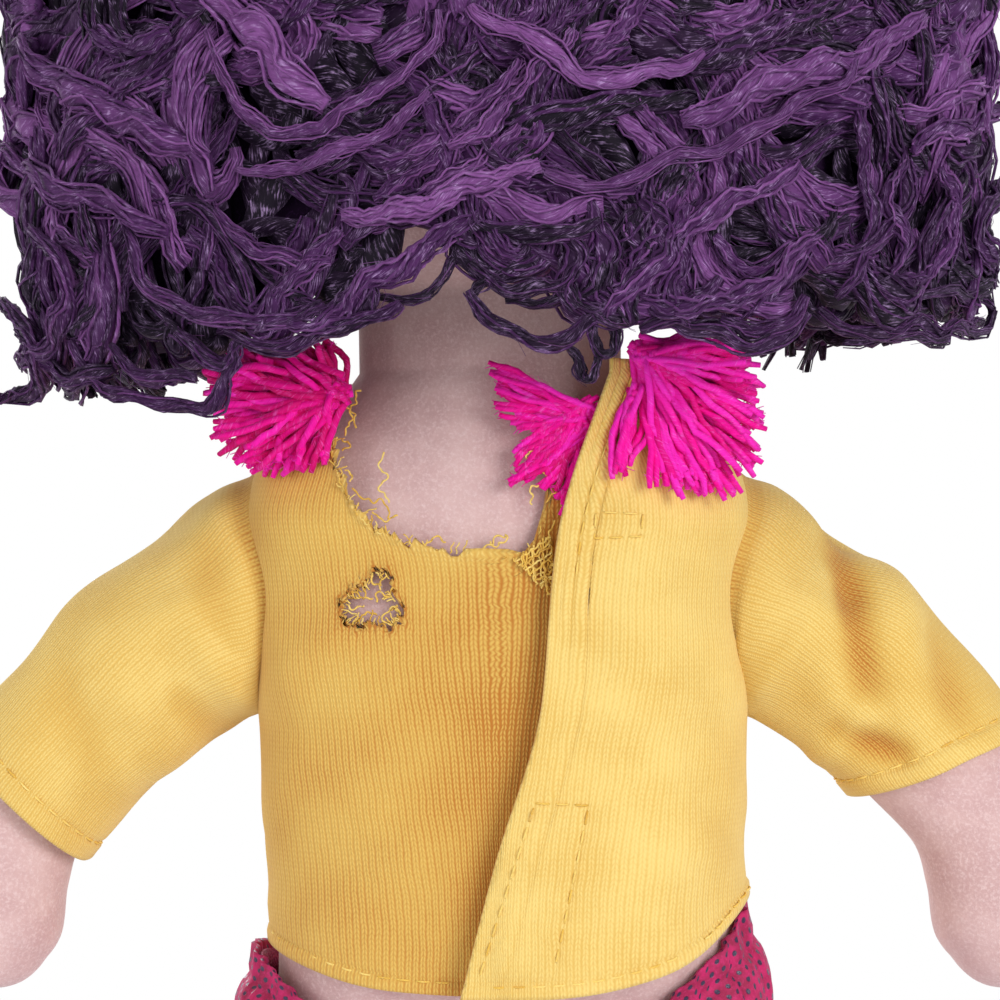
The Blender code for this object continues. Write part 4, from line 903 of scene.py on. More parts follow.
def tapeRelief(x, z):
    # the tape under the cloth shows as a slight flat rise inside its stitched outline
    low, high, edge = 0.138, 0.1612, 0.8 * mm
    share = clip((z - low) / (high - low), 0, 1)
    (topLeft, _), (topRight, _), (lowRight, _), (lowLeft, _) = (flatXZ(*spot) for spot in tapeOutline)
    left = lowLeft + (topLeft - lowLeft) * share
    right = lowRight + (topRight - lowRight) * share
    inX = smooth((left - x + edge / 2) / edge) * smooth((x - right + edge / 2) / edge)
    return 0.25 * mm * inX * rise(z, low, edge) * rise(high, z, edge)


def makeTapes():
    for level, low, high in (("upper", 0.187, 0.199), ("lower", 0.1385, 0.1605)):
        for kind, lift, cloth, owner in (("loop", 1.0, loopTape, "torso"), ("hook", 1.9, hookTape, "flap")):
            z = linspace(low, high, 24)[:, None]
            right = flapEdgeX(z) - 1.2 * mm
            left = np.maximum(flapEdgeX(z) - 6.8 * mm, hingeX(z) + 4.0 * mm)
            x = right + (left - right) * linspace(0, 1, 14)[None, :]
            piece = gridSurface(f"{kind}Tape{level.title()}", onShirt(x, z, lift * mm), cloth)
            addWall(piece, 0.55 * mm)
            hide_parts(f"{kind}_tape_{level}")
            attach(piece, owner)


def outwardAt(turn, z):
    # the way out of the shirt at places on it
    small = 0.2 * mm
    a = shirtPoints(turn + 0.01, z) - shirtPoints(turn - 0.01, z)
    b = shirtPoints(turn, z + small) - shirtPoints(turn, z - small)
    way = unit(np.cross(a, b))
    return way * np.sign((way * shirtPoints(turn, z)).sum(-1, keepdims=True))


def makeShirtStitches():
    cloth = shirt["cloth"]
    turn = linspace(-math.pi + 0.25, -0.25, 160)
    for place, z in (("hem", hemZ(turn) + shirt["hemWidth"]), ("neck", collarZ(turn) - 2.0 * mm)):
        name = f"{place}StitchesFront"
        addStitches(name, shirtPoints(turn, z, cloth), outwardAt(turn, z), 0.12 * mm, "torso")
    x = linspace(29.5 * mm, 5.5 * mm, 120)
    turn = turnAtX(x, np.full(120, shirt["stitchHem"]))
    z = hemZ(turn) + shirt["hemWidth"]
    lift = 0.3 * mm + cloth + ripple(shirtPoints(turn, z), 20 * mm, 21) * 0.3 * mm
    addStitches("hemStitchesLeft", shirtPoints(turn, z, lift), outwardAt(turn, z), 0.1 * mm, "torso")
    addFlapLine("hemStitchesRight", linspace(-29.5 * mm, -22.0 * mm, 70), None, "torso")
    addFlapLine("hemStitchesFlap", linspace(-19.6 * mm, 2.4 * mm, 150), None, "flap")
    z = linspace(0.188, 0.2135, 90)
    addFlapLine("edgeStitchesFlap", flapEdgeX(z) - 2.7 * mm, z, "flap")
    for name, outline, each in (
        ("lowerTapeStitches", (*tapeOutline[3:], *tapeOutline[:3]), 40),
        ("upperTapeStitches", ((584, 512), (584, 538), (626, 536), (628, 514), (590, 512)), 30),
    ):
        corners = array([flatXZ(*spot) for spot in outline])
        fine = concatenate([linspace(a, b, each)[:-1] for a, b in zip(corners, corners[1:])])
        addFlapLine(name, fine[:, 0], fine[:, 1], "flap")


def addFlapLine(name, x, z, owner):
    # stitches along a line on the right back panel, or along its hem where z is None
    if z is None:
        turn = turnAtX(x, np.full(len(x), shirt["stitchHem"]))
        z = hemZ(turn) + shirt["hemWidth"]
    turn = turnAtX(x, z)
    lift = rightDrape(x, z, turn) + shirt["cloth"]
    addStitches(name, shirtPoints(turn, z, lift), outwardAt(turn, z), 0.1 * mm, owner)


makeShirtFront()
makeShirtBackLeft()
makeShirtBackRight()
makeTapes()
makeShirtStitches()
print("shirt made")


# arms and sleeves

arm = {
    # nine stations down the arm: its drop in degrees there, and shares of its reach, fall and half sizes
    "reach": 43.0 * mm, "fall": 49 * mm, "halfWidth": 12.8 * mm, "halfDepth": 11.5 * mm,
    "drop": (0.0, 24.0, 42.0, 44.0, 46.0, 52.0, 55.0, 55.0, 55.0),
    "reachShares": (0.0, 0.149, 0.355, 0.538, 0.670, 0.762, 0.835, 0.918, 1.0),
    "fallShares": (0.0, 0.071, 0.235, 0.398, 0.535, 0.661, 0.796, 0.906, 1.0),
    "widthShares": (0.95, 0.92, 0.86, 0.79, 0.75, 0.87, 1.0, 0.88, 0.36),
    "depthShares": (1.0, 0.97, 0.92, 0.87, 0.80, 0.87, 0.92, 0.81, 0.32),
}
sleeve = {
    # five stations; reach has how long each side's sleeve is, and how much shorter its lower side
    "halfHeight": 15.0 * mm, "halfDepth": 13.8 * mm, "hemWall": 0.9 * mm, "seamAt": 3.62,
    "height": (1.0, 0.92, 0.84, 0.79, 0.78), "depth": (0.85, 0.93, 0.90, 0.87, 0.86),
    "reach": {1: (1.06, 0.0), -1: (1.0, 0.28)},
}


def armRings(stations, halfAcross, halfDeep, columns, side):
    # rings square to the way down the arm; stations count its rows, one for each ring or for each point
    rows = arange(9)
    if stations.ndim == 1:
        stations, halfAcross, halfDeep = stations[:, None], halfAcross[:, None], halfDeep[:, None]
    x = joint["armX"] + arm["reach"] * eased(stations, rows, arm["reachShares"])
    z = joint["shoulderZ"] - arm["fall"] * eased(stations, rows, arm["fallShares"])
    drop = np.radians(eased(stations, rows, arm["drop"]))
    across, deep = oval(halfAcross, halfDeep, 2.2, around(columns))
    # the upper side runs straight from the shoulder point
    slope = 3.6 * mm * bell((stations - 1.0) / 0.62) * smooth(-across / (9 * mm))
    return xyz(side * (x - across * sin(drop)), deep, z - across * cos(drop) - slope)


def ringWays(points):
    # out of each ring's middle
    return unit(points - points.mean(axis=1, keepdims=True))


def turnedRows(outer, inner, wall, start=()):
    # a tube's rows that go along it and back inside: which are outside, and how far in each is moved
    onOuter = arange(outer + inner) < outer
    turned = where(onOuter, 0, wall)
    turned[outer - 1:outer - 1 + len(start)] = start
    return onOuter, turned


def lifted(points, lift):
    # rings made larger by lift
    return points + ringWays(points) * lift[..., None]


def stitchRing(name, line, lift, owner, **looks):
    # stitches all round a ring of points
    addStitches(name, line, ringWays(line[None])[0], lift, owner, closed=True, **looks)


def makeArm(side, label):
    rows = arange(9)
    closer = 0.8 * sin(linspace(0, math.pi / 2, 18))
    stations = concatenate([linspace(0, 7.2, 70)[:-1], 7.2 + closer])
    across = arm["halfWidth"] * eased(stations, rows, arm["widthShares"])
    deep = arm["halfDepth"] * eased(stations, rows, arm["depthShares"])
    # the hand is rounded from the station tip on
    tip = 6.4
    end = np.sqrt(clip(1 - clip((stations - tip) / 1.62, 0, 1) ** 2.4, 0.004, 1))
    wide = eased(tip, rows, arm["widthShares"]) * arm["halfWidth"]
    thick = eased(tip, rows, arm["depthShares"]) * arm["halfDepth"]
    across = where(stations > tip, wide * end, across)
    deep = where(stations > tip, thick * end, deep)
    points = armRings(stations, across, deep, 72, side)
    points = lifted(points, ripple(points, 14 * mm, 40 + side) * 0.25 * mm)
    skin = closedSkin(f"armSkin{label.title()}", points, skinVelour)
    outwardFaces(skin)
    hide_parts(f"arm_skin_{label}", f"arm_stuffing_{label}")
    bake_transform(skin)


sleeveFolds = {
    1: (
        (228, 700, 190, 640, 2.4, 1.0), (150, 770, 120, 700, 3.0, 0.6), (100, 700, 160, 610, 4.0, 0.5),
        (60, 690, 90, 800, 3.0, -0.5), (205, 560, 215, 650, 3.0, -0.6), (170, 700, 200, 730, 2.4, -0.6),
    ),
    -1: (
        (848, 545, 862, 600, 3.0, -1.5), (862, 600, 872, 690, 3.0, -1.3), (890, 560, 918, 668, 3.4, 0.9),
        (845, 738, 910, 762, 2.2, -1.7), (772, 690, 806, 640, 2.2, 1.0), (818, 590, 832, 700, 2.8, 0.9),
        (870, 805, 965, 772, 2.2, 0.7), (830, 770, 870, 720, 2.0, 0.8), (940, 640, 975, 730, 2.8, -0.8),
        (790, 520, 820, 590, 3.0, 0.5),
    ),
}


def makeSleeve(side, label):
    # rows from the armhole to the cuff, then back inside it
    rows = arange(5)
    outerRows, innerRows, columns = 84, 10, 96
    outer = linspace(0, 4.0, outerRows)
    stations = concatenate([outer, linspace(3.97, 3.4, innerRows)])
    onOuter, turned = turnedRows(outerRows, innerRows, sleeve["hemWall"], (0.2 * mm, 0.5 * mm, 0.8 * mm))
    reach, shorter = sleeve["reach"][side]
    places = stations[:, None] * reach * (1 - shorter * (0.5 + 0.5 * cos(around(columns))))
    # the root flares to go under the edges of the front and back
    flare = 1.6 * mm * (1 - smooth(stations / 0.12)) - turned
    across = sleeve["halfHeight"] * eased(places, rows, sleeve["height"]) + flare[:, None]
    deep = sleeve["halfDepth"] * eased(places, rows, sleeve["depth"]) + flare[:, None]
    points = armRings(places, across, deep, columns, side)
    onShirtBy = (-0.35 + 0.9 * smooth(stations / 0.16))[:, None] * mm
    width, depth, squareness = shirtSection(points[..., 2], onShirtBy)
    share = clip(1 - np.abs(points[..., 1] / depth) ** squareness, 0, 1) ** (1 / squareness)
    root = 1 - smooth(stations / 1.3)[:, None]
    points[..., 0] -= side * root * (joint["armX"] - width * share)
    puff = 0.9 * mm * smooth(stations / 0.35) * (1 - rise(stations, 0.8, 2.0))
    puff = puff + 0.2 * mm * (1 - smooth(stations / 0.25))
    seam = -0.3 * mm * bell((stations - sleeve["seamAt"]) / 0.05) + 0.25 * mm * rise(stations, 3.6, 0.1)
    wrinkles = ripple(points, 13 * mm, 50 + side) * 0.45 * mm
    folds = foldsOf(sleeveFolds[side], points) * smooth(points[..., 1] / (4 * mm) + 0.5)
    creased = (wrinkles + folds) * smooth(stations / 0.6)[:, None]
    points = lifted(points, (puff + seam * onOuter)[:, None] + creased)
    # besides the random tone, tone rises in the valleys of the folds and in a band at the root where the
    # sleeve meets the body: painted shade
    tone = 0.12 + 0.08 * ripple(points, 11 * mm, 60 + side) + clip(-folds / mm, 0, 1.6) * 0.5
    tone = tone + 0.45 * bell((stations - 0.1) / 0.09)[:, None]
    line = points[int(np.argmin(np.abs(outer - sleeve["seamAt"])))]
    stitchRing(f"cuffStitches{label.title()}", line, 0.15 * mm, f"arm_{label}")
    cloth = gridSurface(f"sleeve{label.title()}", points, jersey, wrap=True, tones=tone)
    addWall(cloth, 0.25 * mm, outward=False)
    if side < 0:
        cloth.data.flip_normals()
    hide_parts(f"sleeve_{label}")
    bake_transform(cloth)


for side, label in ((1, "left"), (-1, "right")):
    makeArm(side, label)
    makeSleeve(side, label)
print("arms and sleeves made")


# legs, trousers, shoes

leg = {
    # here and in the next two: sizes as shares of a half size, at shares of the height
    "radius": 11.8 * mm, "top": 0.112,
    "height": (0.215, 0.28, 0.55, 0.80, 1.0), "width": (0.80, 0.86, 0.97, 1.04, 1.06),
    "depth": (0.82, 0.88, 1.0, 1.02, 0.21), "squareness": (2.0, 2.0, 2.0, 2.3, 5.0),
}
trouser = {
    "halfWidth": 14.2 * mm, "hemZ": 0.0272, "top": 0.1173, "joinZ": 0.104, "seamZ": 0.1222,
    "height": (0.0, 0.40, 0.73, 0.875, 0.975, 1.0), "width": (1.0, 0.955, 1.0, 1.0, 0.975, 0.955),
    "depth": (1.0, 0.955, 0.95, 0.86, 0.80, 0.78), "squareness": (2.0, 2.0, 2.1, 2.2, 2.4, 2.4),
}
shoe = {
    "bottom": 3.3 * mm, "top": 28 * mm, "halfWidth": 12 * mm, "halfLength": 24.6 * mm, "forward": 8.2 * mm,
    "height": (0.0, 0.18, 0.38, 0.60, 0.84, 1.0), "width": (0.96, 1.0, 0.98, 0.94, 0.93, 0.95),
    "length": (0.985, 1.0, 0.90, 0.67, 0.50, 0.50), "forwardShares": (1.0, 1.0, 0.76, 0.34, 0.03, 0.0),
    "squareness": (2.3, 2.2, 2.1, 2.0, 2.0, 2.0),
}


def levelRings(z, width, depth, squareness, columns, centreX, centreY=0.0):
    x, y = oval(width[:, None], depth[:, None], squareness[:, None], around(columns))
    return xyz(x + centreX, y + np.broadcast_to(centreY, len(z))[:, None], z[:, None])


def shoeRings(z, inset, columns, centreX):
    share = (z - shoe["bottom"]) / (shoe["top"] - shoe["bottom"])
    return levelRings(
        z,
        shoe["halfWidth"] * profile(shoe, "width", share) - inset,
        shoe["halfLength"] * profile(shoe, "length", share) - inset,
        profile(shoe, "squareness", share),
        columns,
        centreX,
        -shoe["forward"] * profile(shoe, "forwardShares", share),
    )


def makeLeg(side, label):
    footZ = linspace(6.5 * mm, 24 * mm, 18)
    foot = shoeRings(footZ, 3.2 * mm, 48, side * joint["hipX"])
    legZ = linspace(29 * mm, leg["top"], 60)
    share = legZ / leg["top"]
    upper = levelRings(
        legZ,
        leg["radius"] * profile(leg, "width", share),
        leg["radius"] * profile(leg, "depth", share),
        profile(leg, "squareness", share),
        48,
        side * joint["hipX"],
    )
    points = concatenate([foot, upper])
    points = lifted(points, ripple(points, 15 * mm, 70 + side) * 0.2 * mm)
    skin = closedSkin(f"legSkin{label.title()}", points, skinVelour)
    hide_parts(f"leg_skin_{label}", f"leg_stuffing_{label}")
    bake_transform(skin)


def makeTrouserLeg(side, label):
    # a tube that takes the outline of its half of the seat above the hip joint
    outerRows, innerRows, columns = 78, 8, 76
    outer, inner = linspace(1, 0, outerRows), linspace(0.01, 0.08, innerRows)
    share = concatenate([outer, inner])
    z = trouser["hemZ"] + (trouser["seamZ"] - trouser["hemZ"]) * share
    tall = clip((z - trouser["hemZ"]) / (trouser["top"] - trouser["hemZ"]), 0, 1)
    width = trouser["halfWidth"] * profile(trouser, "width", tall)
    depth = trouser["halfWidth"] * profile(trouser, "depth", tall)
    onOuter, turned = turnedRows(outerRows, innerRows, 0.9 * mm)
    squareness = profile(trouser, "squareness", tall)
    points = levelRings(z, width - turned, depth - turned, squareness, columns, joint["hipX"])
    seatWidth, seatDepth, seatSquareness = seatSection(z)
    turn = around(columns)
    x, y = oval(seatWidth[:, None] + 0.5 * mm, seatDepth[:, None] + 0.5 * mm, seatSquareness[:, None], turn)
    outside = cos(turn) > 0
    y = where(outside, y, sin(turn) * (seatDepth[:, None] + 0.5 * mm))
    half = xyz(where(outside, np.abs(x), 0.4 * mm), y, points[..., 2])
    join = rise(z, trouser["joinZ"], trouser["seamZ"] - trouser["joinZ"] - 2 * mm)[:, None, None]
    points = points * (1 - join) + half * join
    wrinkles = ripple(points * array([1, 1, 1.9]), 15 * mm, 80 + side) * 0.5 * mm
    creases = 0.35 * mm * (sin(z * 900 + 1.3 * sin(z * 260)) * rise(z, 0.085, 0.02))[:, None]
    hem = 0.3 * mm * (1 - rise(share, 0.035, 0.01)) - 0.25 * mm * bell((share - 0.04) / 0.006)
    fade = rise(1, share, 0.1)[:, None]
    lift = (wrinkles + creases * (0.6 + 0.4 * cos(3 * turn)) - 0.2 * mm) * fade + (hem * onOuter)[:, None]
    points = lifted(points, lift)
    points[..., 0] *= side
    line = points[int(np.argmin(np.abs(outer - 0.04)))]
    stitchRing(
        f"hemStitchesLeg{label.title()}", line, 0.15 * mm, f"leg_{label}", thread=roseThread, slot="velour"
    )
    cloth = gridSurface(f"trouserLeg{label.title()}", points, foilVelour, wrap=True)
    if side > 0:
        cloth.data.flip_normals()
    addWall(cloth, 0.3 * mm, outward=False)
    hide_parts(f"trouser_leg_{label}")
    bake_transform(cloth)


seat = {
    # half depth and half width in mm at heights, how far it stands off the body, and its lowest row
    "z": (0.116, 0.1185, 0.1225, 0.1275, 0.1335, 0.150),
    "depth": (10.2, 11.0, 13.2, 16.0, 19.0, 19.5), "width": (29.6, 30.2, 31.2, 32.2, 32.9, 31.5),
    "off": 1.6 * mm, "low": 0.1181,
}


def seatSection(z):
    # the seat's outline: the body's with fullness, kept round down to the seam of the legs
    width, _, squareness = bodySection(np.maximum(z, body["height"][0]))
    deep, level = (eased(z, seat["z"], array(seat[key]) * mm) for key in ("depth", "width"))
    return np.maximum(level, width + seat["off"]), deep, clip(squareness, 2.2, 2.8)


def waistZ(turn):
    side = where(cos(turn) > 0, 0.1395, 0.1452)
    middle = where(sin(turn) > 0, 0.126, 0.1335)
    return middle + (side - middle) * np.abs(cos(turn)) ** 1.7


def makeSeat():
    # rows from the crotch up to the waist, then in over the elastic
    columns, outerRows, innerRows = 204, 46, 7
    turn = around(columns)
    share = concatenate([linspace(0, 1, outerRows), linspace(0.985, 0.8, innerRows)])[:, None]
    z = seat["low"] + (waistZ(turn) - seat["low"]) * share
    width, depth, squareness = seatSection(z)
    bodyWidth, bodyDepth, _ = bodySection(np.maximum(z, body["height"][0]))
    close = rise(share, 0.62, 0.38)
    right = 1 - 0.75 * smooth(cos(turn))
    billow = sin(clip(share, 0, 1) * math.pi) ** 0.7 * (1.1 + 1.9 * right) * mm
    width = (width + billow) * (1 - close) + (bodyWidth + (1.2 + 1.6 * right) * mm) * close
    depth = (depth + 0.6 * billow) * (1 - close) + (bodyDepth + 2.0 * mm) * close
    gather = 0.30 * mm * cos(34 * turn + 0.7 * sin(3 * turn)) + 0.2 * mm * cos(53 * turn + 1)
    gather = (gather + 0.1 * mm * cos(79 * turn)) * smooth(share / 0.9) ** 1.5
    onOuter = arange(outerRows + innerRows) < outerRows
    channel = -0.5 * mm * bell((share - 0.82) / 0.03) * onOuter[:, None]
    turned = (0.4 + 0.8 * smooth(linspace(0.2, 1, innerRows))) * mm
    lift = gather + channel - concatenate([np.zeros(outerRows), turned])[:, None]
    x, y = oval(width + lift, depth + lift, squareness, turn)
    points = xyz(x, y, z)
    crush = ripple(points, 7 * mm, 90) * 0.35 * mm
    points = points + unit(points * array([1, 1, 0])) * (crush * smooth(share * 4))[..., None]
    cloth = gridSurface("trouserSeat", points, foilVelour, wrap=True, closeStart=True)
    addWall(cloth, 0.3 * mm, outward=False)
    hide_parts("trouser_seat")
    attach(cloth, "torso")
    z = waistZ(turn) - 1.3 * mm - array([[3.0 * mm], [0.0]])
    width, depth, squareness = bodySection(z + 0.6 * mm)
    inFold = (0.45 + 1.6 * right) * mm
    x, y = oval(width + inFold, depth + 1.25 * mm, squareness, np.broadcast_to(turn, z.shape))
    band = gridSurface("waistElastic", xyz(x, y, z), elasticCloth, wrap=True)
    addWall(band, 0.4 * mm, outward=False)
    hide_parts("waist_elastic")
    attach(band, "torso")


def makeShoe(side, label):
    # the upper's rows go up to its opening, then back inside it
    centreX = side * joint["hipX"]
    outerRows, innerRows = 44, 8
    share = concatenate([linspace(0, 1, outerRows), linspace(0.985, 0.72, innerRows)])
    z = shoe["bottom"] + (shoe["top"] - shoe["bottom"]) * share
    onOuter, turned = turnedRows(outerRows, innerRows, 1.3 * mm, (0.3 * mm, 0.8 * mm, 1.2 * mm))
    points = shoeRings(z, 0.0, 68, centreX)
    cuff = 0.7 * mm * rise(z, 22.5 * mm, 0.6 * mm) * onOuter
    toeLine = points[..., 1] + 20.5 * mm + 0.25 * (z[:, None] - 3 * mm)
    toe = -0.35 * mm * bell(toeLine / (0.5 * mm)) * onOuter[:, None]
    soft = ripple(points, 12 * mm, 100 + side) * 0.2 * mm
    points = lifted(points, (cuff - turned)[:, None] + toe + soft)
    upper = gridSurface(f"shoeUpper{label.title()}", points, shoeFelt, wrap=True, closeStart=True)
    addWall(upper, 0.3 * mm, outward=False)
    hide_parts(f"shoe_upper_{label}")
    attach(upper, f"leg_{label}")
    for name, height, off in (("sole", 5.4 * mm, 0.12 * mm), ("cuff", 26.4 * mm, 0.8 * mm)):
        line = shoeRings(array([height]), -off, 120, centreX)[0]
        stitchRing(
            f"{name}Stitches{label.title()}", line, 0.12 * mm, f"leg_{label}", thread=roseThread, slot="shoe"
        )
    share = concatenate([[0.0, 0.03], linspace(0.1, 0.9, 7), [0.97, 1.0]])
    edge = 0.8 * mm - 0.7 * mm * (np.abs(share - 0.5) * 2) ** 5
    points = shoeRings(np.full(len(share), shoe["bottom"]), 0.0, 96, centreX)
    points = points + ringWays(points) * edge[:, None, None]
    points[..., 2] = 3.0 * mm * share[:, None]
    sole = closedSkin(f"shoeSole{label.title()}", points, soleFelt)
    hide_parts(f"shoe_sole_{label}")
    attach(sole, f"leg_{label}")


for side, label in ((1, "left"), (-1, "right")):
    makeLeg(side, label)
    makeTrouserLeg(side, label)
    makeShoe(side, label)
makeSeat()
print("legs, trousers and shoes made")


# pink yarn tufts and frayed threads

def onBack(px, py, lift):
    # places on the back of the shirt that are seen at picture points
    px, py = np.asarray(px, float), np.asarray(py, float)
    y = np.full(px.shape, 0.017)
    for _ in range(5):
        place = seen(px, py, y)
        width, depth, squareness = shirtSection(np.minimum(place[..., 2], shirt["seenTopZ"]))
        across = clip(np.abs(place[..., 0]) / width, 0, 0.97)
        y = depth * (1 - across**squareness) ** (1 / squareness) + lift
    return seen(px, py, y)


tufts = {
    # where the strands start and end, how many, and the depth they span in mm; the thin ones hang aside
    "tassel_left": {
        "root": (338, 396), "spread": 6, "count": 170, "thin": 0, "deep": (13.0, 21.5), "tone": (0.05, 0.75),
        "over": 1.5, "radius": 0.47 * mm, "rise": (0.3, 2.4),
        "ends": (
            (330, 338), (285, 340), (238, 352), (207, 372), (205, 405), (212, 440), (240, 466), (280, 478),
            (322, 468),
        ),
    },
    "tassel_right": {
        "root": (642, 354), "spread": 5, "count": 204, "thin": 16, "deep": (15.0, 22.5), "tone": (0.5, 1.0),
        "over": 4.2, "radius": 0.45 * mm, "rise": (0.3, 2.4),
        "ends": (
            (690, 362), (725, 352), (740, 345), (757, 365), (770, 405), (765, 465), (736, 498), (692, 503),
            (655, 490),
        ),
    },
    "tassel_under": {
        "root": (592, 418), "spread": 8, "count": 70, "thin": 0, "deep": (16.4, 19.6), "tone": (0.2, 0.9),
        "over": 1.0, "radius": 0.40 * mm, "rise": (0.1, 0.9),
        "ends": (
            (487, 358), (487, 385), (490, 410), (520, 430), (500, 490), (534, 470), (550, 500), (562, 520),
        ),
    },
}


def waver(paths, size, length, seed):
    # soft random waves, still at the start of each path
    rng = np.random.default_rng(seed)
    _, side, other, run = frames(paths)
    grow = smooth(run / run[:, -1:] * 3)
    out = paths.copy()
    for way in (side, other):
        for share in (1.0, 0.45):
            phase = rng.uniform(0, full, (len(paths), 1))
            period = length * share * rng.uniform(0.7, 1.4, (len(paths), 1))
            height = size * share * rng.uniform(0.4, 1.2, (len(paths), 1))
            out = out + way * (height * grow * sin(full * run / period + phase))[..., None]
    return out


def fibresFrom(paths, count, reach, radius, seed, steps=10):
    # fine stray fibres: parts of the paths that lift away from them
    rng = np.random.default_rng(seed)
    pick = rng.integers(0, len(paths), count)
    span = paths.shape[1]
    start = rng.integers(0, max(span - 10, 1), count)
    reachSteps = rng.integers(6, max(span // 2, 8), count)
    at = clip(start[:, None] + linspace(0, 1, steps)[None] * reachSteps[:, None], 0, span - 1)
    low = np.floor(at).astype(int)
    high = np.minimum(low + 1, span - 1)
    part = (at - low)[..., None]
    path = paths[pick[:, None], low] * (1 - part) + paths[pick[:, None], high] * part
    path = path + linspace(0, 1, steps)[None, :, None] * rng.normal(0, 0.2 * mm, (count, 1, 3))
    lift = linspace(-0.35, 1, steps)[None, :, None] ** 2
    path = path + lift * unit(rng.normal(size=(count, 1, 3))) * (reach * rng.uniform(0.3, 1, (count, 1, 1)))
    path = waver(path, 0.3 * mm, 3 * mm, seed + 1)
    return path, np.full((count, steps), radius) * linspace(1.1, 0.5, steps)[None]


def endFibres(paths, each, reach, radius, seed):
    # a brush of fibres that fans out of the end of each path
    rng = np.random.default_rng(seed)
    tip = np.repeat(paths[:, -2], each, axis=0)
    way = np.repeat(unit(paths[:, -1] - paths[:, -3]), each, axis=0)
    way = unit(way + rng.normal(0, 0.45, way.shape))
    t = linspace(0, 1, 4)[None, :, None]
    bend = rng.normal(0, 0.35, (len(tip), 1, 3))
    length = reach * rng.uniform(0.4, 1, (len(tip), 1, 1))
    path = tip[:, None] + (way[:, None] * t + bend * t * t) * length
    return path, np.full((len(tip), 4), radius) * linspace(1.2, 0.5, 4)[None]


def makeTufts():
    for seed, (name, tuft) in enumerate(tufts.items(), 200):
        rng = np.random.default_rng(seed)
        strands = []
        ends = array(tuft["ends"], float)
        order = arange(len(ends))
        for k in range(tuft["count"]):
            first = array(tuft["root"]) + rng.normal(0, tuft["spread"], 2)
            at = rng.uniform(0, len(ends) - 1)
            last = array([np.interp(at, order, ends[:, 0]), np.interp(at, order, ends[:, 1])])
            if k < tuft["thin"]:
                first, last = first + array([-8, 34]), array([606 + 1.4 * k, 476])
            last = first + (last - first) * rng.uniform(0.78, 1.02) + rng.normal(0, 3, 2)
            middle = (first + last) / 2 + rng.normal(0, 6, 2)
            px, py = array([first, middle, last]).T
            deep = np.sort(rng.uniform(*tuft["deep"], 3))[::-1] if k % 3 else rng.uniform(*tuft["deep"], 3)
            strands.append(spline(seen(px, py, deep * mm), 12))
        paths = waver(array(strands), 0.3 * mm, 10 * mm, seed + 10)
        low, high = array(tuft["deep"]) * mm
        paths[..., 1] = clip(paths[..., 1], low, high)
        level = np.minimum(paths[..., 2], shirt["seenTopZ"])
        cloth = onShirt(paths[..., 0], level, tuft["over"] * mm)[..., 1]
        paths[..., 1] = np.maximum(paths[..., 1], cloth + rng.uniform(*tuft["rise"], (len(paths), 1)) * mm)
        radii = tuft["radius"] * np.ones((len(paths), 12))
        radii[:, -1] *= 0.75
        tone = rng.uniform(*tuft["tone"], len(paths)) * where(rng.uniform(size=len(paths)) < 0.2, 0.4, 1)
        sets = [tubes(paths, radii, 6, 3, 0.14, 3200.0, tone)]
        brush, brushRadii = endFibres(paths, 3, 1.3 * mm, 0.10 * mm, seed + 20)
        sets.append(tubes(brush, brushRadii, 3, tones=rng.uniform(0.5, 1, len(brush))))
        stray, strayRadii = fibresFrom(paths, 160, 1.3 * mm, 0.05 * mm, seed + 30)
        sets.append(tubes(stray, strayRadii, 3, tones=rng.uniform(0.5, 1, len(stray))))
        tuftYarn = tubeObject(name.title().replace("_", ""), sets, pinkYarn)
        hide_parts(name)
        if name == "tassel_right":
            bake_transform(tuftYarn)
        else:
            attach(tuftYarn, "torso")


frayed = (
    # threads that hang and curl from the torn edges: lift in mm, then the picture points
    (1.2, 342, 440, 348, 446, 344, 452),
    (1.2, 384, 452, 380, 466, 386, 478, 380, 490, 390, 502),
    (1.4, 345, 470, 352, 474, 350, 482),
    (1.2, 352, 488, 366, 500, 384, 502, 390, 518),
    (1.0, 372, 512, 384, 520, 398, 516),
    (1.3, 480, 552, 494, 540, 506, 534, 500, 546, 490, 542),
    (1.0, 424, 548, 432, 538, 446, 540),
    (1.5, 330, 430, 336, 410, 330, 392, 338, 380),
    (1.7, 345, 436, 350, 416, 346, 398),
    (1.3, 356, 428, 352, 408, 360, 390),
    (1.2, 536, 446, 528, 456, 532, 468),
    (1.2, 540, 484, 530, 492, 534, 504),
    (0.8, 350, 590, 362, 600, 372, 596),
    (0.9, 396, 584, 388, 594, 380, 592, 376, 602),
    (0.8, 358, 622, 366, 612, 376, 616),
    (0.9, 400, 612, 390, 608, 384, 616, 388, 626),
    (0.7, 346, 604, 354, 608, 364, 606),
    (0.8, 372, 574, 374, 584, 382, 588),
    (0.8, 386, 632, 382, 624, 374, 626),
    (1.6, 555, 520, 549, 540, 552, 560, 546, 580),
)


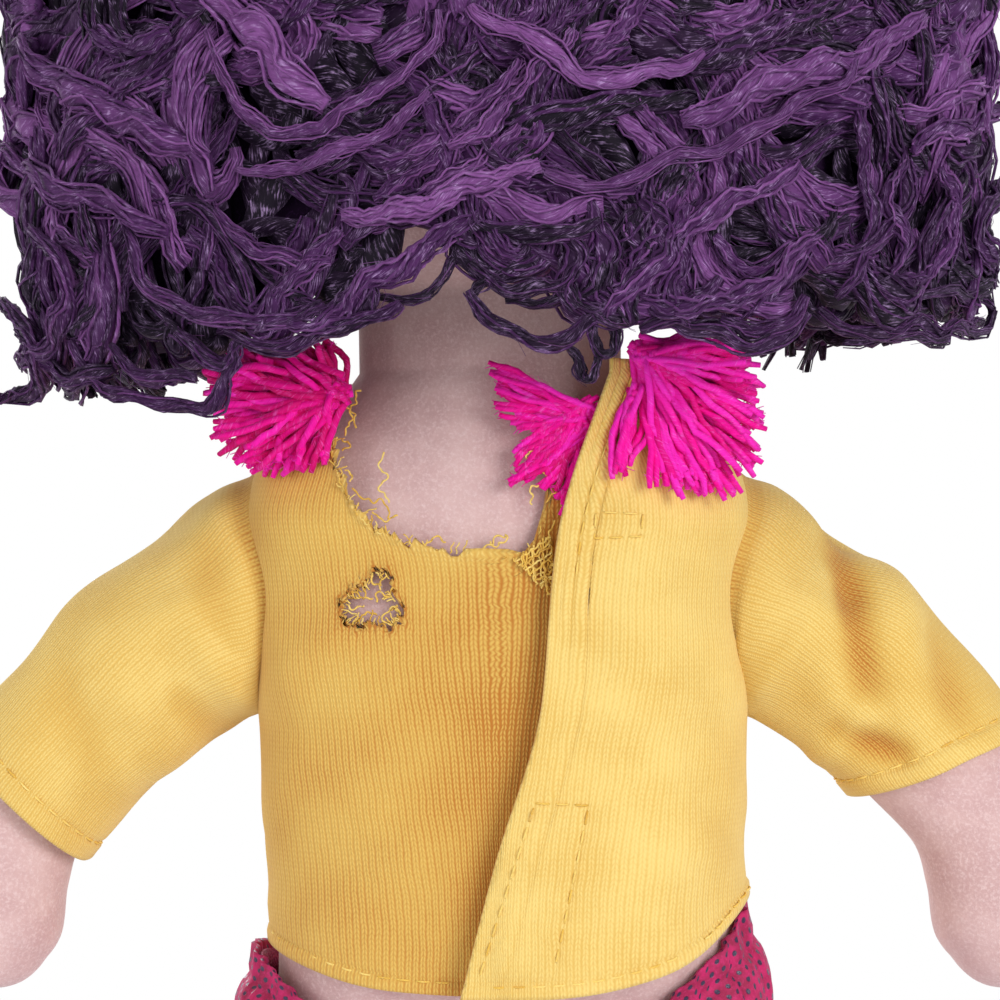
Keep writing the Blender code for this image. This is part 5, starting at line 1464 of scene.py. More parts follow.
def makeFrayedThreads():
    rng = np.random.default_rng(300)
    paths = []
    for lift, *knots in frayed:
        px, py = array(knots, float).reshape(-1, 2).T
        paths.append(spline(onBack(px, py, lift * mm), 40))
    # the scrap of facing folded up beside the flap: threads side by side, and others across them
    corners = array([(513, 560), (550, 534), (558, 602)], float)
    each = 13
    for k in range(2 * each):
        share = (k % each + 0.5) / each
        a, b, c = corners if k < each else corners[[2, 0, 1]]
        start, stop = a + (b - a) * share, a + (c - a) * share
        start, stop = start + rng.normal(0, 1.0, 2), stop + rng.normal(0, 1.0, 2)
        line = np.stack([start, (start + stop) / 2 + rng.normal(0, 1.2, 2), stop])
        paths.append(spline(onBack(line[:, 0], line[:, 1], rng.uniform(1.5, 2.0) * mm), 40))
    # short ends that stand out all along the torn neckline and round the hole
    count, rimCount = 170, 70
    turn = linspace(0.06, 0.6, count) * math.pi
    base = shirtPoints(turn, tornZ(turn) - 0.5 * mm, 1.0 * mm)
    away = xyz(rng.normal(0, 0.7, count), rng.uniform(0.1, 0.9, count), rng.uniform(0.2, 1.4, count))
    t = linspace(0, 1, 10)[None, :, None]
    short = base[:, None] + away[:, None] * t * (rng.uniform(0.5, 1.6, (count, 1, 1)) * mm)
    angle = rng.uniform(0, full, rimCount)
    edge = holeReach(angle)
    x, z = flatXZ(hole["px"], hole["py"])
    rim = onShirt(x + edge * cos(angle), z + edge * sin(angle), 0.9 * mm)
    inward = xyz(-cos(angle), rng.uniform(-0.3, 0.4, rimCount), -sin(angle))
    inward = inward + rng.normal(0, 0.5, (rimCount, 3)) * 0.7
    fringe = rim[:, None] + inward[:, None] * t * (rng.uniform(0.4, 1.5, (rimCount, 1, 1)) * mm)
    hanging, scrap = array(paths[:-2 * each]), array(paths[-2 * each:])
    long = concatenate([waver(hanging, 0.3 * mm, 2.4 * mm, 301), waver(scrap, 0.1 * mm, 1.6 * mm, 304)])
    short = concatenate([waver(short, 0.15 * mm, 2 * mm, 302), waver(fringe, 0.15 * mm, 2 * mm, 303)])
    tone = rng.uniform(0.2, 1, len(long) + len(short))
    threads = tubeObject("frayedThreads", [
        tubes(long, 0.13 * mm, 5, 2, 0.2, 5000.0, tone[:len(long)]),
        tubes(short, 0.1 * mm, 4, tones=tone[len(long):]),
    ], yellowThread)
    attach(threads, "torso")


makeTufts()
makeFrayedThreads()
print("tufts and frayed threads made")


# face: satin-stitched eyes and nose, stem-stitched mouth

def onFace(x, z, lift):
    x, z = np.broadcast_arrays(np.asarray(x, float), np.asarray(z, float))
    inner = 1 - ((z - head["z"]) / head["halfHeight"]) ** 2 - (x / head["halfWidth"]) ** 2
    return xyz(x, -head["halfDepth"] * np.sqrt(clip(inner, 0, 1)) - lift, z)


def satinPatch(name, centreX, centreZ, halfAcross, halfUp, stitches, material, upright):
    # parallel stitches side by side that fill an oval, each arched over the padding
    t = linspace(-1, 1, 14)[None, :]
    at = linspace(-0.93, 0.93, stitches)[:, None]
    reach = np.sqrt(1 - at**2) * 0.97
    across = (at if upright else reach * t) * halfAcross + 0 * t
    up = (reach * t if upright else at) * halfUp + 0 * t
    lift = (0.35 + 0.55 * np.sqrt(clip(1 - t**2, 0, 1)) * reach) * mm
    paths = onFace(centreX + across, centreZ + up, lift)
    radius = 0.62 * (halfAcross if upright else halfUp) * 2 / stitches
    tone = np.random.default_rng(5).uniform(0.2, 0.9, stitches)
    return tubeObject(name, [tubes(paths, radius, 8, 3, 0.12, 4000.0, tone)], material)


def makeFace():
    for side, label in ((1, "left"), (-1, "right")):
        x = side * 13.5 * mm
        eye = satinPatch(f"eye{label.title()}", x, 0.2575, 3.4 * mm, 4.4 * mm, 11, darkThread, True)
        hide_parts(f"eye_{label}")
        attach(eye, "head")
    nose = satinPatch("nose", 0.0, 0.2485, 2.1 * mm, 1.9 * mm, 7, roseThread, False)
    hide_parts("nose")
    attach(nose, "head")
    share = linspace(-1, 1, 15)
    t = linspace(-1, 1, 10)[None, :]
    x = 7.3 * mm * share[:, None] + 0.85 * mm * t
    z = 0.2405 + 2.4 * mm * (x / (7.5 * mm)) ** 2 + 0.22 * mm * t
    paths = onFace(x, z, (0.45 + 0.25 * (1 - t**2)) * mm)
    stitches = tubes(paths, 0.42 * mm, 8, 3, 0.12, 4000.0, linspace(0.4, 0.7, 15))
    mouth = tubeObject("mouth", [stitches], roseThread)
    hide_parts("mouth")
    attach(mouth, "head")


makeFace()
print("face made")


# wig

wig = {
    # half sizes, heights of the tiers, degrees where its nodes divide, and heights of the hanging ends
    "z": 0.262, "halfWidth": 64.5 * mm, "halfDepth": 45.5 * mm, "fringe": 1.0563, "halfHeight": 60.5 * mm,
    "powerAbove": 2.4, "powerBelow": 5.0, "innerWidth": 42.5 * mm, "innerDepth": 35.5 * mm,
    "tierZ": 0.2648, "fringeZ": 0.281, "firstAngle": -42.0, "lockAngle": 33.0, "crownBend": 58.0,
    "lowBack": 0.2180, "lowLeft": 0.2095, "lowRight": 0.2195, "lowFace": 0.216,
}


wigCentre = array([0, 0, wig["z"]])


def wigPower(up):
    # squarer below its middle than above
    return where(up > 0, wig["powerAbove"], wig["powerBelow"])


def wigDeep(back):
    # its half depth, a little more towards the face
    return where(back < 0, wig["halfDepth"] * wig["fringe"], wig["halfDepth"])


def wigScale(up, least=0.02):
    # how wide it is at a height, which is counted from its centre in half heights
    return clip(1 - np.abs(up) ** wigPower(up), least, 1) ** (1 / wigPower(up))


def wigReach(way):
    # from the wig's centre out to its surface: a superellipsoid
    level = np.hypot(way[..., 0] / wig["halfWidth"], way[..., 1] / wigDeep(way[..., 1]))
    power = wigPower(way[..., 2])
    return (level**power + np.abs(way[..., 2] / wig["halfHeight"]) ** power) ** (-1 / power)


def onWig(px, py, lift):
    # places on the back of the wig that are seen at picture points
    px, py = np.asarray(px, float), np.asarray(py, float)
    y = np.full(px.shape, 0.03)
    for _ in range(8):
        place = seen(px, py, y)
        scale = wigScale((place[..., 2] - wig["z"]) / wig["halfHeight"], 0.05)
        across = clip(1 - (place[..., 0] / (wig["halfWidth"] * scale)) ** 2, 0.0, 1)
        y = 0.5 * y + 0.5 * wig["halfDepth"] * scale * np.sqrt(across)
    return seen(px, py, y + lift)


def lowZ(angle):
    # the hanging ends: highest at the nape, lowest beside the neck
    back = clip(sin(np.radians(angle)), 0, 1) ** 1.5
    face = clip(-sin(np.radians(angle)), 0, 1)
    side = where(cos(np.radians(angle)) > 0, wig["lowLeft"], wig["lowRight"])
    # the nape shows through a window
    window = 9.0 * mm * bell(((angle - 80) / 8.5) ** 2) + 5.5 * mm * bell(((angle - 94.5) / 5.0) ** 2)
    return side + (wig["lowBack"] - side) * back + (wig["lowFace"] - side) * face + window


wander = {
    # seeded locks that fill what the picture doesn't fix, their length in mm
    "steps": 44, "candidates": 5200, "length": (22.0, 50.0), "turning": 0.085, "grouped": 2, "gap": 2.3 * mm,
}


def wanderingLocks(seed, count, lift, steer):
    # locks that walk over the wig with smoothly changing turns, and turn back up at its hanging edge
    rng = np.random.default_rng(seed)
    steps = wander["steps"]
    way = unit(rng.normal(size=(count, 3)) * array([1.0, 1.0, 0.9]) + array([0, 0, -0.1]))
    heading = rng.normal(size=(count, 3)) * array([1.0, 1.0, 0.75])
    length = rng.uniform(*wander["length"], (count, 1)) * mm / steps
    bends = rng.normal(0, wander["turning"], (count, 4)) * array([1.0, 0.8, 0.5, 0.3])
    phases = rng.uniform(0, full, (count, 4))
    inOut = rng.uniform(0, full, (count, 2))
    path = np.zeros((count, steps, 3))
    for i in range(steps):
        reach = wigReach(way)
        share = i / steps
        level = lift + 0.8 * mm * sin(full * 1.3 * share + inOut[:, 0])
        level = level + 0.5 * mm * sin(full * 2.9 * share + inOut[:, 1])
        lumps = ripple(way * reach[:, None], 27 * mm, 505) * 1.5 * mm
        lumps = lumps * (1 - rise(way[:, 1] * reach, 20 * mm, 15 * mm))
        path[:, i] = way * (reach + level + lumps)[:, None]
        heading = unit(heading - (heading * way).sum(-1, keepdims=True) * way)
        turn = (bends * sin(full * share * array([0.5, 1.0, 1.8, 3.0]) + phases)).sum(-1)
        heading = unit(heading * cos(turn)[:, None] + np.cross(way, heading) * sin(turn)[:, None])
        angle = np.degrees(np.arctan2(way[:, 1], way[:, 0]))
        z = wig["z"] + way[:, 2] * reach
        push = rise(lowZ(angle) + 6 * mm, z, 6 * mm)
        heading = unit(heading + push[:, None] * array([0, 0, steer]))
        way = unit(way + heading * (length / reach[:, None]))
    path[..., 2] += wig["z"]
    return path


def grouped(paths, each, gap, seed):
    # each path as several that run side by side over the wig
    rng = np.random.default_rng(seed)
    out = unit(paths - wigCentre)
    way = unit(np.gradient(paths, axis=1))
    side = unit(np.cross(out, way))
    steps = linspace(0, 1, paths.shape[1])[None, :, None]
    family = []
    for k in range(each):
        sway = sin(steps * 4 + rng.uniform(0, full, (len(paths), 1, 1)))
        hump = 0.5 * mm * sin(steps * 5 + rng.uniform(0, full, (len(paths), 1, 1)))
        family.append(paths + side * ((k - (each - 1) / 2) * gap * (0.75 + 0.5 * sway)) + out * hump)
    return np.stack(family, axis=1).reshape(-1, *paths.shape[1:])


def allowed(path):
    # locks stay off the face and above the hanging edge
    angle = np.degrees(np.arctan2(path[..., 1], path[..., 0]))
    z = path[..., 2]
    face = (angle > -137) & (angle < -43) & (z < wig["fringeZ"] + 2.5 * mm)
    under = z < lowZ(angle) + 1.6 * mm
    return ~(face | under).any(axis=1)


hairNodes = [
    *(f"hair_lock_{k}" for k in range(1, 9)), *(f"hair_upper_{k}" for k in range(1, 7)), "hair_crown",
]


def nodeOf(path):
    # which CAD lock a path belongs to, by its middle
    middle = path[:, path.shape[1] // 2]
    angle = np.degrees(np.arctan2(middle[:, 1], middle[:, 0]))
    level = (middle[:, 2] - wig["z"]) / wig["halfHeight"]
    flat = np.hypot(middle[:, 0] / wig["halfWidth"], middle[:, 1] / wig["halfDepth"])
    bend = np.degrees(np.arctan2(level, flat))
    hanging = clip(((angle - wig["firstAngle"]) % 360) // wig["lockAngle"], 0, 7).astype(int)
    upper = 8 + (((angle + 30) % 360) // 60).astype(int)
    return where(bend > wig["crownBend"], 14, where(middle[:, 2] < wig["tierZ"], hanging, upper))


def resampled(paths, steps):
    at = linspace(0, paths.shape[1] - 1.001, steps)
    low = at.astype(int)
    part = (at - low)[None, :, None]
    return paths[:, low] * (1 - part) + paths[:, low + 1] * part


def lockParts(spines, halfWidth, tone, strands, seed, steps, thick=0.55):
    # a woolly lock along each spine: a flattened tube that swells in its middle, and crimped strands on it
    rng = np.random.default_rng(seed)
    spines = resampled(spines, steps)
    count = len(spines)
    out = unit(spines - wigCentre)
    _, _, _, run = frames(spines)
    t = linspace(0, 1, steps)[None, :]
    swell = 0.3 + 0.7 * sin(math.pi * clip(0.04 + 0.92 * t, 0, 1)) ** 0.55
    uneven = 1 + 0.16 * sin(full * run / (8.5 * mm) + rng.uniform(0, full, (count, 1)))
    halfWidth = np.asarray(halfWidth).reshape(-1, 1) * swell * uneven
    # the flattened tube under the strands is 0.16 darker in tone than its lock: painted shade beneath the
    # strands
    body = tubes(
        spines, halfWidth * 0.9, 8, 3, 0.08, 260.0, clip(tone - 0.16, 0, 1), out=out, flat=thick, streaks=3
    )
    if strands == 0:
        return [body], None
    way = unit(np.gradient(spines, axis=1))
    other = unit(out - (out * way).sum(-1, keepdims=True) * way)
    side = np.cross(other, way)
    angle = (arange(strands) / strands * full)[None, :, None] + rng.uniform(0, full, (count, 1, 1))
    angle = angle + rng.normal(0, 55, (count, 1, 1)) * run[:, None, :]
    phase = rng.uniform(0, full, (count, strands, 1))
    angle = angle + 0.35 * sin(full * run[:, None, :] / (11 * mm) + phase)
    away = rng.uniform(0.85, 1.4, (count, strands, 1)) * halfWidth[:, None, :]
    period = rng.uniform(2.2, 3.6, (count, strands, 1)) * mm
    crimp = 0.17 * mm * sin(full * run[:, None, :] / period + rng.uniform(0, full, (count, strands, 1)))
    along = cos(angle) * away + crimp
    square = sin(angle) * away * thick + crimp * 0.7
    paths = spines[:, None] + along[..., None] * side[:, None] + square[..., None] * other[:, None]
    paths = paths.reshape(count * strands, steps, 3)
    radii = np.repeat(clip(halfWidth.max(axis=1) * 0.17, 0.15 * mm, 0.27 * mm), strands)[:, None]
    radii = radii * (1 - 0.5 * np.abs(2 * t - 1) ** 6)
    strandTone = clip(np.repeat(tone, strands) + rng.normal(0, 0.16, len(paths)), 0, 1)
    return [body, tubes(paths, radii, 3, tones=strandTone)], paths


placedLocks = (
    # width in px, tone 0 dark to 1 light mauve, lift in mm, then the picture points
    (38, 1.0, 0.6, 205, -25, 217, 0, 262, 40, 290, 75, 325, 105),
    (20, 0.7, 0.2, 232, 38, 203, 60, 195, 90, 200, 135, 214, 150),
    (13, 0.75, 0.9, 205, 30, 212, 50, 232, 100, 265, 123, 300, 130, 348, 113, 398, 76, 428, 40, 440, 10),
    (13, 0.8, 0.7, 235, 168, 245, 172, 285, 170, 332, 153, 381, 130, 415, 110, 430, 92),
    (34, 0.75, 0.4, 20, 40, 33, 66, 83, 96, 150, 130, 200, 166, 215, 190),
    (28, 0.7, 0.3, -12, 140, 0, 150, 60, 190, 130, 215, 170, 230),
    (18, 0.55, 0.5, 120, 215, 133, 245, 146, 282, 172, 302, 212, 318, 282, 322, 310, 310),
    (17, 0.6, 0.3, 215, 210, 229, 226, 252, 252, 298, 265, 330, 262),
    (22, 0.95, 0.8, 540, 165, 520, 172, 448, 196, 398, 209, 358, 216, 342, 220),
    (22, 0.6, 0.5, 480, 215, 464, 226, 415, 252, 365, 292, 315, 322, 290, 330),
    (18, 1.0, 0.9, 470, 5, 480, 17, 530, 40, 563, 60, 613, 80, 669, 70, 700, 50),
    (16, 0.75, 0.4, 575, 30, 563, 50, 520, 92, 480, 126, 450, 150),
    (25, 0.3, 0.6, 840, 0, 818, 7, 762, 40, 686, 63, 672, 66),
    (30, 0.9, 0.7, 925, 18, 905, 30, 845, 63, 762, 86, 692, 116, 684, 122),
    (14, 0.8, 0.9, 545, 172, 563, 179, 590, 186, 620, 182, 686, 156, 745, 133, 795, 110, 842, 76, 860, 50),
    (17, 0.5, 0.3, 850, 55, 855, 76, 865, 133, 868, 186, 868, 232, 852, 282, 840, 300),
    (24, 0.75, 0.5, 1012, 72, 1000, 76, 961, 96, 908, 113, 898, 118),
    (24, 0.6, 0.5, 1012, 106, 1000, 110, 951, 133, 925, 140, 912, 146),
    (24, 0.65, 0.4, 800, 165, 779, 179, 712, 212, 666, 259, 623, 299, 610, 318),
    (22, 0.55, 0.5, 820, 235, 805, 245, 762, 285, 712, 305, 666, 308, 640, 300),
    (9, 0.05, -1.5, 350, 318, 365, 300, 398, 297, 431, 282, 464, 245, 481, 219, 486, 200),
    (18, 0.3, -0.8, 468, 290, 480, 308, 500, 332, 530, 345, 566, 335, 590, 312, 620, 308, 662, 312),
    (10, 0.1, -1.2, 590, 318, 593, 330, 600, 350, 613, 350, 612, 330, 600, 318),
    (9, 0.1, -1.2, 560, 340, 568, 352, 578, 376, 592, 378, 597, 358, 590, 340),
    (18, 0.45, 0.0, 70, 340, 90, 378, 133, 398, 166, 406, 206, 405, 228, 390, 236, 360),
    (18, 0.35, -0.5, 225, 330, 262, 345, 300, 345, 330, 332, 368, 318, 400, 300),
    (18, 0.4, -0.4, 640, 330, 672, 318, 700, 332, 742, 344, 790, 335, 812, 318),
    (16, 0.35, -2.5, 818, 310, 845, 330, 880, 334, 905, 322, 940, 330, 985, 322),
    (12, 0.3, -2.5, 900, 300, 944, 292, 985, 298, 993, 312, 975, 330, 944, 335, 880, 340, 845, 338),
    (20, 0.55, -0.2, 385, 60, 420, 92, 446, 130, 440, 165, 420, 190),
    (15, 0.7, 0.1, 520, 60, 498, 92, 462, 120, 420, 150, 385, 172),
    (15, 0.6, 0.0, 510, 92, 490, 120, 452, 150, 410, 176, 372, 196),
    (14, 0.75, 0.2, 520, 126, 492, 150, 455, 176, 420, 196),
    (17, 0.6, 0.2, 660, -20, 640, 10, 618, 36, 590, 52),
    (15, 0.5, 0.0, 605, -20, 585, 8, 560, 30, 538, 38),
    (15, 0.6, 0.1, 545, -20, 530, 5, 512, 22, 490, 30),
    (24, 0.45, 0.0, 640, 200, 660, 230, 655, 262, 632, 290),
    (20, 0.5, 0.3, 690, 205, 668, 240, 640, 270, 610, 285),
    (24, 0.5, 0.0, 30, 230, 60, 262, 70, 300, 50, 340, 20, 365),
    (24, 0.45, 0.0, 0, 300, 30, 335, 40, 372, 18, 398, -12, 402),
    (18, 0.5, -0.3, 340, 230, 315, 255, 280, 290, 262, 312),
    (22, 0.5, 0.1, 940, 170, 958, 200, 950, 240, 925, 270, 900, 285),
    (22, 0.45, 0.0, 1000, 180, 985, 220, 990, 260, 1000, 290),
    (18, 0.55, -0.2, 905, 160, 890, 200, 902, 240, 890, 280),
    (17, 0.6, 0.0, 715, 235, 740, 262, 780, 262, 815, 235),
    (20, 0.35, 0.2, 478, 222, 500, 232, 530, 236, 560, 228, 600, 222),
    (16, 0.25, -0.6, 470, 262, 492, 284, 520, 292, 556, 284, 580, 262),
    (13, 0.15, -1.2, 486, 210, 492, 240, 486, 270, 470, 292),
    (20, 0.3, -0.4, 560, 225, 572, 250, 566, 280, 580, 305),
    (22, 0.35, -0.2, 598, 225, 608, 255, 598, 285, 606, 312),
    (22, 0.4, 0.0, 630, 222, 640, 252, 628, 285, 640, 318),
    (22, 0.45, 0.0, 662, 215, 680, 250, 672, 285, 690, 322),
    (12, 0.2, -1.0, 505, 300, 540, 296, 572, 300, 600, 296),
    (16, 0.3, -0.4, 575, 300, 600, 318, 630, 322, 656, 308),
    (20, 0.5, 0.2, 640, 296, 668, 306, 700, 300, 724, 282),
    (18, 0.45, 0.0, 720, 320, 752, 332, 786, 322, 806, 296),
    (18, 0.4, 0.0, 236, 300, 262, 320, 296, 322, 322, 300),
    (18, 0.3, -0.4, 176, 330, 198, 352, 226, 362, 240, 340),
    (22, 0.35, -0.2, 18, 330, 44, 362, 80, 380, 110, 372),
    (18, 0.4, -0.2, 110, 345, 130, 366, 160, 380, 196, 378),
    (15, 0.35, -0.2, 300, 300, 330, 318, 356, 306, 372, 282),
    (24, 0.6, 0.2, 80, 10, 105, 38, 140, 50, 170, 30),
    (20, 0.5, 0.2, 150, 75, 120, 92, 82, 128, 62, 160),
)

hollows = (
    # left, top, right and bottom of the wig's dark and open places, in picture points
    (330, 0, 415, 95), (235, 60, 265, 105), (215, 126, 350, 160), (245, 180, 300, 225), (623, 66, 692, 140),
    (580, 126, 606, 172), (380, 228, 478, 400), (500, 238, 560, 276), (130, 300, 200, 340),
    (228, 365, 345, 400), (640, 335, 1000, 400),
)


def inHollow(path):
    # whether the middle of a path is in one of the dark or open places seen in the picture
    middle = path[:, path.shape[1] // 4: -path.shape[1] // 4 + 1: 6]
    away = (camera["y"] - middle[..., 1]) / (camera["y"] - camera["planeY"])
    px = camera["middle"] - (middle[..., 0] - camera["x"]) / away / camera["pitch"]
    py = camera["middle"] - (middle[..., 2] - camera["z"]) / away / camera["pitch"]
    inside = np.zeros(px.shape, bool)
    for x0, y0, x1, y1 in hollows:
        inside |= (px > x0) & (px < x1) & (py > y0) & (py < y1)
    return (inside & (middle[..., 1] > 0)).any(axis=1)


def openBelow(angle):
    # the under layer ends higher where the nape shows between the locks
    return 6 * mm + 2.0 * mm * bell(((angle - 84) / 15) ** 2)


def wigWay(bend, angles):
    # the way out of the wig's centre at an angle round it, bent up from its middle height
    return unit(xyz(
        wig["halfWidth"] * cos(bend) * cos(angles), wig["halfDepth"] * cos(bend) * sin(angles),
        wig["halfHeight"] * sin(bend),
    ))


def wigPlace(angle, z, lift):
    # the wig's surface at an angle round it and a height, moved out by lift
    scale = wigScale((z - wig["z"]) / wig["halfHeight"])
    turn = np.radians(angle)
    deep = wigDeep(sin(turn)) * scale
    return xyz((wig["halfWidth"] * scale + lift) * cos(turn), (deep + lift) * sin(turn), z)


def makeCore(k):
    # the imported yarn under the locks: a closed lumpy band between the cap and the outer locks; its dark
    # colour is painted shade
    depth = 5.0 * mm
    if k < 8:
        angle = (wig["firstAngle"] + wig["lockAngle"] * (k + linspace(0, 1, 30)))[:, None]
        low = lowZ(angle) + openBelow(angle)
        z = low + (wig["tierZ"] - low) * linspace(0, 1, 16)[None, :]
        out = wigPlace(angle, z, -depth)
        turn = np.radians(angle)
        inner = xyz(wig["innerWidth"] * cos(turn), wig["innerDepth"] * sin(turn), z + 1.5 * mm)
        loop = concatenate([out, inner[:, ::-1]], axis=1)
    elif k < 14:
        turn = np.radians(60 * (k - 8) - 30 + linspace(0, 60, 30))[:, None]
        lowest = where(sin(turn) < -0.68, wig["fringeZ"] + 2 * mm, wig["tierZ"] - 2 * mm)
        start = np.arcsin((lowest - wig["z"]) / wig["halfHeight"])
        stop = np.radians(wig["crownBend"] + 4)
        way = wigWay(start + (stop - start) * linspace(0, 1, 16)[None, :], turn)
        reach = wigReach(way)[..., None]
        loop = concatenate([way * (reach - depth), (way * reach * 0.735)[:, ::-1]], axis=1) + wigCentre
    else:
        bend = np.radians(linspace(89.6, wig["crownBend"], 12))
        way = wigWay(concatenate([bend, bend[::-1]])[:, None], around(60))
        reach = wigReach(way)[..., None]
        loop = concatenate([way[:12] * reach[:12] * 0.75, way[12:] * (reach[12:] - depth)]) + wigCentre
    lumps = ripple(loop * array([1, 1, 0.5]), 6 * mm, 400) * 0.7 * mm
    return loop + unit(loop - wigCentre) * lumps[..., None]


def meshParts(obj):
    # takes an object out of the scene and gives what tubeObject joins: points, faces, UVs and tones
    mesh = obj.data
    points, uvs = np.empty(len(mesh.vertices) * 3), np.empty(len(mesh.loops) * 2, np.float32)
    mesh.vertices.foreach_get("co", points)
    mesh.uv_layers[0].data.foreach_get("uv", uvs)
    faces = [list(face.vertices) for face in mesh.polygons]
    bpy.data.objects.remove(obj)
    return points.reshape(-1, 3), faces, uvs.reshape(-1, 2), np.zeros(len(points) // 3)


wigLooks = {
    # groups of locks in each node, strands on a lock, half widths in mm, locks under them, stray fibres and
    # the points along a lock
    "back": {"groups": 20, "strands": 9, "width": (0.9, 1.8), "under": 22, "fibres": 420, "steps": 28},
    "side": {"groups": 19, "strands": 5, "width": (1.2, 2.2), "under": 18, "fibres": 160, "steps": 24},
    "top": {"groups": 30, "strands": 3, "width": (1.7, 3.1), "under": 24, "fibres": 110, "steps": 20},
}


def edgeLocks(seed):
    # curls that hang in loops from the wig's lower edge, its fringe and the sides of its face opening
    rng = np.random.default_rng(seed)
    t = linspace(0, 1, wander["steps"])[None, :]
    bow = (2 * t - 1) ** 2
    count = 104
    middle = linspace(wig["firstAngle"] + 3, 219, count) + rng.normal(0, 1.5, count)
    lift = -rng.uniform(0.5, 15.0, count) * mm
    lift = where(np.abs(middle - 80) < 15, -rng.uniform(0.5, 2.5, count) * mm, lift)
    raised = rng.uniform(0.0, 3.5, count) * mm
    angle = middle[:, None] + rng.uniform(3, 8, (count, 1)) * (2 * t - 1)
    angle = angle + 2.0 * sin(t * 9 + middle[:, None])
    z = lowZ(angle) + raised[:, None] + 0.8 * mm + rng.uniform(6, 15, (count, 1)) * mm * bow
    hanging = wigPlace(angle, z, lift[:, None])
    count = 34
    middle = linspace(-134, -46, count) + rng.normal(0, 1.2, count)
    angle = middle[:, None] + rng.uniform(4, 9, (count, 1)) * (2 * t - 1)
    z = wig["fringeZ"] + rng.uniform(-3.0, 1.0, (count, 1)) * mm + rng.uniform(7, 14, (count, 1)) * mm * bow
    fringe = wigPlace(angle, z, -rng.uniform(0.0, 13.0, (count, 1)) * mm)
    count = 26
    side = where(arange(count) % 2 == 0, -43.0, -137.0)[:, None]
    angle = side + rng.normal(0, 1.2, (count, 1))
    angle = angle + 2.2 * sin(t * rng.uniform(6, 12, (count, 1)) + middle[:count, None])
    z = rng.uniform(0.2145, 0.222, (count, 1)) + (0.288 - 0.218) * rng.uniform(0.75, 1.0, (count, 1)) * t
    depth = np.repeat(linspace(0.5, 17.5, count // 2), 2)[:, None] * mm
    sides = wigPlace(angle, z, -depth + 0.8 * mm * sin(t * 17 + side))
    return concatenate([hanging, fringe, sides])


def makeWig():
    rng = np.random.default_rng(500)
    placed, placedTone, placedSpread = [], [], []
    for width, tone, lift, *knots in placedLocks:
        px, py = array(knots, float).reshape(-1, 2).T
        placed.append(spline(onWig(px, py, (lift + 0.3) * mm), wander["steps"]))
        placedTone.append(tone)
        placedSpread.append(width * camera["pitch"] * 0.46)
    placed = waver(array(placed), 0.7 * mm, 17 * mm, 501)
    each = wander["grouped"]
    top = wanderingLocks(502, wander["candidates"], -1.5 * mm, 0.35)
    top = top[allowed(top) & ~inHollow(top)]
    under = wanderingLocks(503, wander["candidates"], -3.8 * mm, 0.35)
    under = under[allowed(under)]
    edges = edgeLocks(504)
    topNode, underNode, placedNode, edgeNode = nodeOf(top), nodeOf(under), nodeOf(placed), nodeOf(edges)
    total = 0
    for k, name in enumerate(hairNodes):
        look = wigLooks["back" if k in (2, 3, 4, 5) else "side" if k < 8 else "top"]
        steps = look["steps"]
        core = closedSkin("core", makeCore(k), hairYarn)
        outwardFaces(core)
        sets = [meshParts(core)]
        coreFaces = len(sets[0][1])
        # the locks of the under layer get only dark tones, 0 to 0.3: painted shade of the deeper layer
        some = under[underNode == k][:look["under"]]
        width = rng.uniform(1.6, 2.6, len(some)) * mm
        parts, _ = lockParts(some, width, rng.uniform(0.0, 0.3, len(some)), 0, 510 + k, 20)
        sets.extend(parts)
        some = edges[edgeNode == k]
        width = rng.uniform(0.7, 1.35, len(some)) * mm
        parts, _ = lockParts(some, width, rng.uniform(0.05, 0.6, len(some)), 3, 515 + k, 26)
        sets.extend(parts)
        gap = wander["gap"] * look["width"][1] / 1.7
        some = grouped(top[topNode == k][:look["groups"]], each, gap, 520 + k)
        family = rng.uniform(0.05, 0.95, len(some) // each)
        tone = clip(np.repeat(family, each) + rng.normal(0, 0.1, len(some)), 0, 1)
        width = rng.uniform(*look["width"], len(some)) * mm
        parts, paths = lockParts(some, width, tone, look["strands"], 530 + k, steps)
        sets.extend(parts)
        strays = [paths]
        here = placedNode == k
        if here.any():
            width = array(placedSpread)[here]
            parts, paths = lockParts(placed[here], width, array(placedTone)[here], 9, 550 + k, steps)
            sets.extend(parts)
            strays.append(paths)
        strays = concatenate(strays)
        fibres, fibreRadii = fibresFrom(strays, look["fibres"], 1.7 * mm, 0.06 * mm, 570 + k, 7)
        sets.append(tubes(fibres, fibreRadii, 3, tones=rng.uniform(0.5, 1, len(fibres))))
        lock = tubeObject(name.title().replace("_", ""), sets, hairYarn)
        # the core's faces take the second material, whose dark colour is painted shade
        lock.data.materials.append(shadedCoreYarn)
        slots = np.zeros(len(lock.data.polygons), np.int32)
        slots[:coreFaces] = 1
        lock.data.polygons.foreach_set("material_index", slots)
        triangles = sum(len(face) - 2 for some in sets for face in some[1])
        print(name, triangles, "triangles")
        total += triangles
        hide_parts(name)
        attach(lock, "head")
    print("wig triangles:", total)


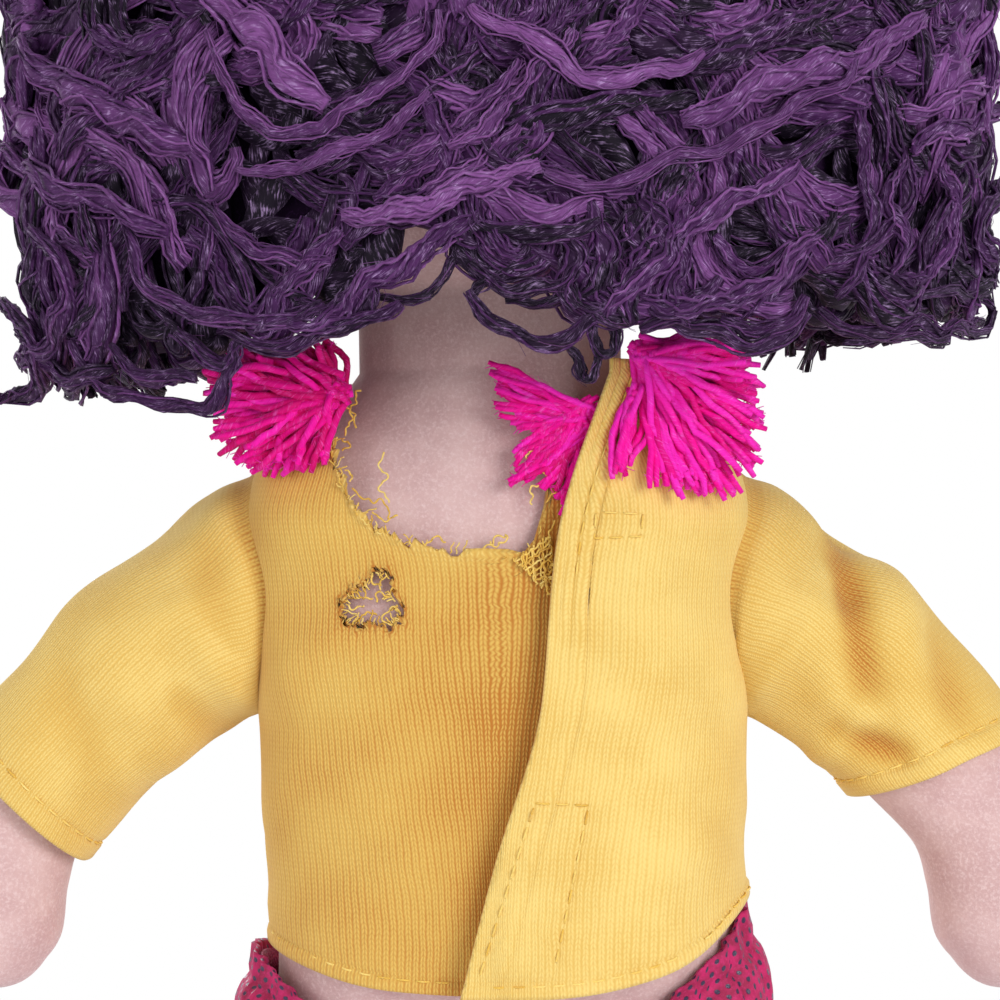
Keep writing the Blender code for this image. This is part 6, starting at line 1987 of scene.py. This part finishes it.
def makeCap():
    tilt, cover = math.radians(35), math.radians(100)
    away = linspace(0.01, cover, 60)[:, None]
    turn = around(96)
    way = xyz(sin(away) * cos(turn), sin(away) * sin(turn), cos(away) + 0 * turn)
    y = way[..., 1] * math.cos(tilt) + way[..., 2] * math.sin(tilt)
    z = -way[..., 1] * math.sin(tilt) + way[..., 2] * math.cos(tilt)
    wefts = 0.12 * mm * cos(away / cover * full * 14)
    size = array([head["halfWidth"], head["halfDepth"], head["halfHeight"]])
    base = xyz(way[..., 0], y, z) * size
    normal = unit(base / size**2)
    points = base + normal * (1.05 * mm + wefts)[..., None] + array([0, 0, head["z"]])
    cap = gridSurface("wigCap", points, capCloth, wrap=True, closeStart=True)
    cap.data.flip_normals()
    addWall(cap, 0.7 * mm)
    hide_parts("wig_cap")
    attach(cap, "head")


makeCap()
makeWig()
print("wig made")


# camera, lights and floor

lights = {
    "world": 0.62,
    "lamps": (
        ("keyLamp", (-0.6, 0.85, 0.42), 0.5, 6.2),
        ("fillLamp", (0.7, 0.55, 0.25), 0.6, 1.8),
        ("frontLamp", (0.35, -0.8, 0.5), 0.6, 4.5),
    ),
}


def makeStage():
    made, tree = newMaterial("floorPaint")
    tree.nodes.remove(tree.nodes["Principled BSDF"])
    diffuse = node(tree, "ShaderNodeBsdfDiffuse", {0: (0.86, 0.86, 0.86, 1)})
    clear = node(tree, "ShaderNodeBsdfTransparent")
    x, y, _ = separated(objectPlace(tree))
    fade = spread((x * x + y * y).apply("SQRT"), 0.16, 0.42)
    shade = node(tree, "ShaderNodeMixShader", {0: fade, 1: diffuse, 2: clear})
    setInputs(tree.nodes["Material Output"], {0: shade})
    ring = arange(64) / 64 * full
    points = concatenate([np.zeros((1, 3)), np.stack([cos(ring), sin(ring), ring * 0], -1) * 0.44])
    faces = [[0, 1 + k, 1 + (k + 1) % 64] for k in range(64)]
    floor = addObject("floor", points, faces, made)
    world = bpy.data.worlds.new("studio")
    bpy.context.scene.world = world
    world.use_nodes = True
    tree = world.node_tree
    direct, glossy, through = (
        node(tree, "ShaderNodeLightPath", output=f"Is {kind} Ray")
        for kind in ("Camera", "Glossy", "Transmission")
    )
    direct = direct.apply("MAXIMUM", glossy).apply("MAXIMUM", through)
    strength = node(tree, "ShaderNodeMapRange", {0: direct, 1: 0.0, 2: 1.0, 3: lights["world"], 4: 1.0})
    setInputs(tree.nodes["Background"], {"Strength": strength, "Color": (1, 1, 1, 1)})
    for name, place, size, power in lights["lamps"]:
        data = bpy.data.lights.new(name, "AREA")
        data.energy = power
        data.size = size
        lamp = bpy.data.objects.new(name, data)
        lamp.location = place
        lamp.rotation_euler = (Vector((0, 0, 0.19)) - Vector(place)).to_track_quat("-Z", "Y").to_euler()
        bpy.context.scene.collection.objects.link(lamp)
    data = bpy.data.cameras.new("camera")
    data.lens = 36 * (camera["y"] - camera["planeY"]) / (1000 * camera["pitch"])
    data.sensor_width = 36
    data.clip_start = 0.02
    eye = bpy.data.objects.new("camera", data)
    eye.location = (camera["x"], camera["y"], camera["z"])
    eye.rotation_euler = (math.pi / 2, 0, math.pi)
    bpy.context.scene.collection.objects.link(eye)
    bpy.context.scene.camera = eye
    bpy.context.scene.view_settings.view_transform = "Standard"


makeStage()
print("stage set")
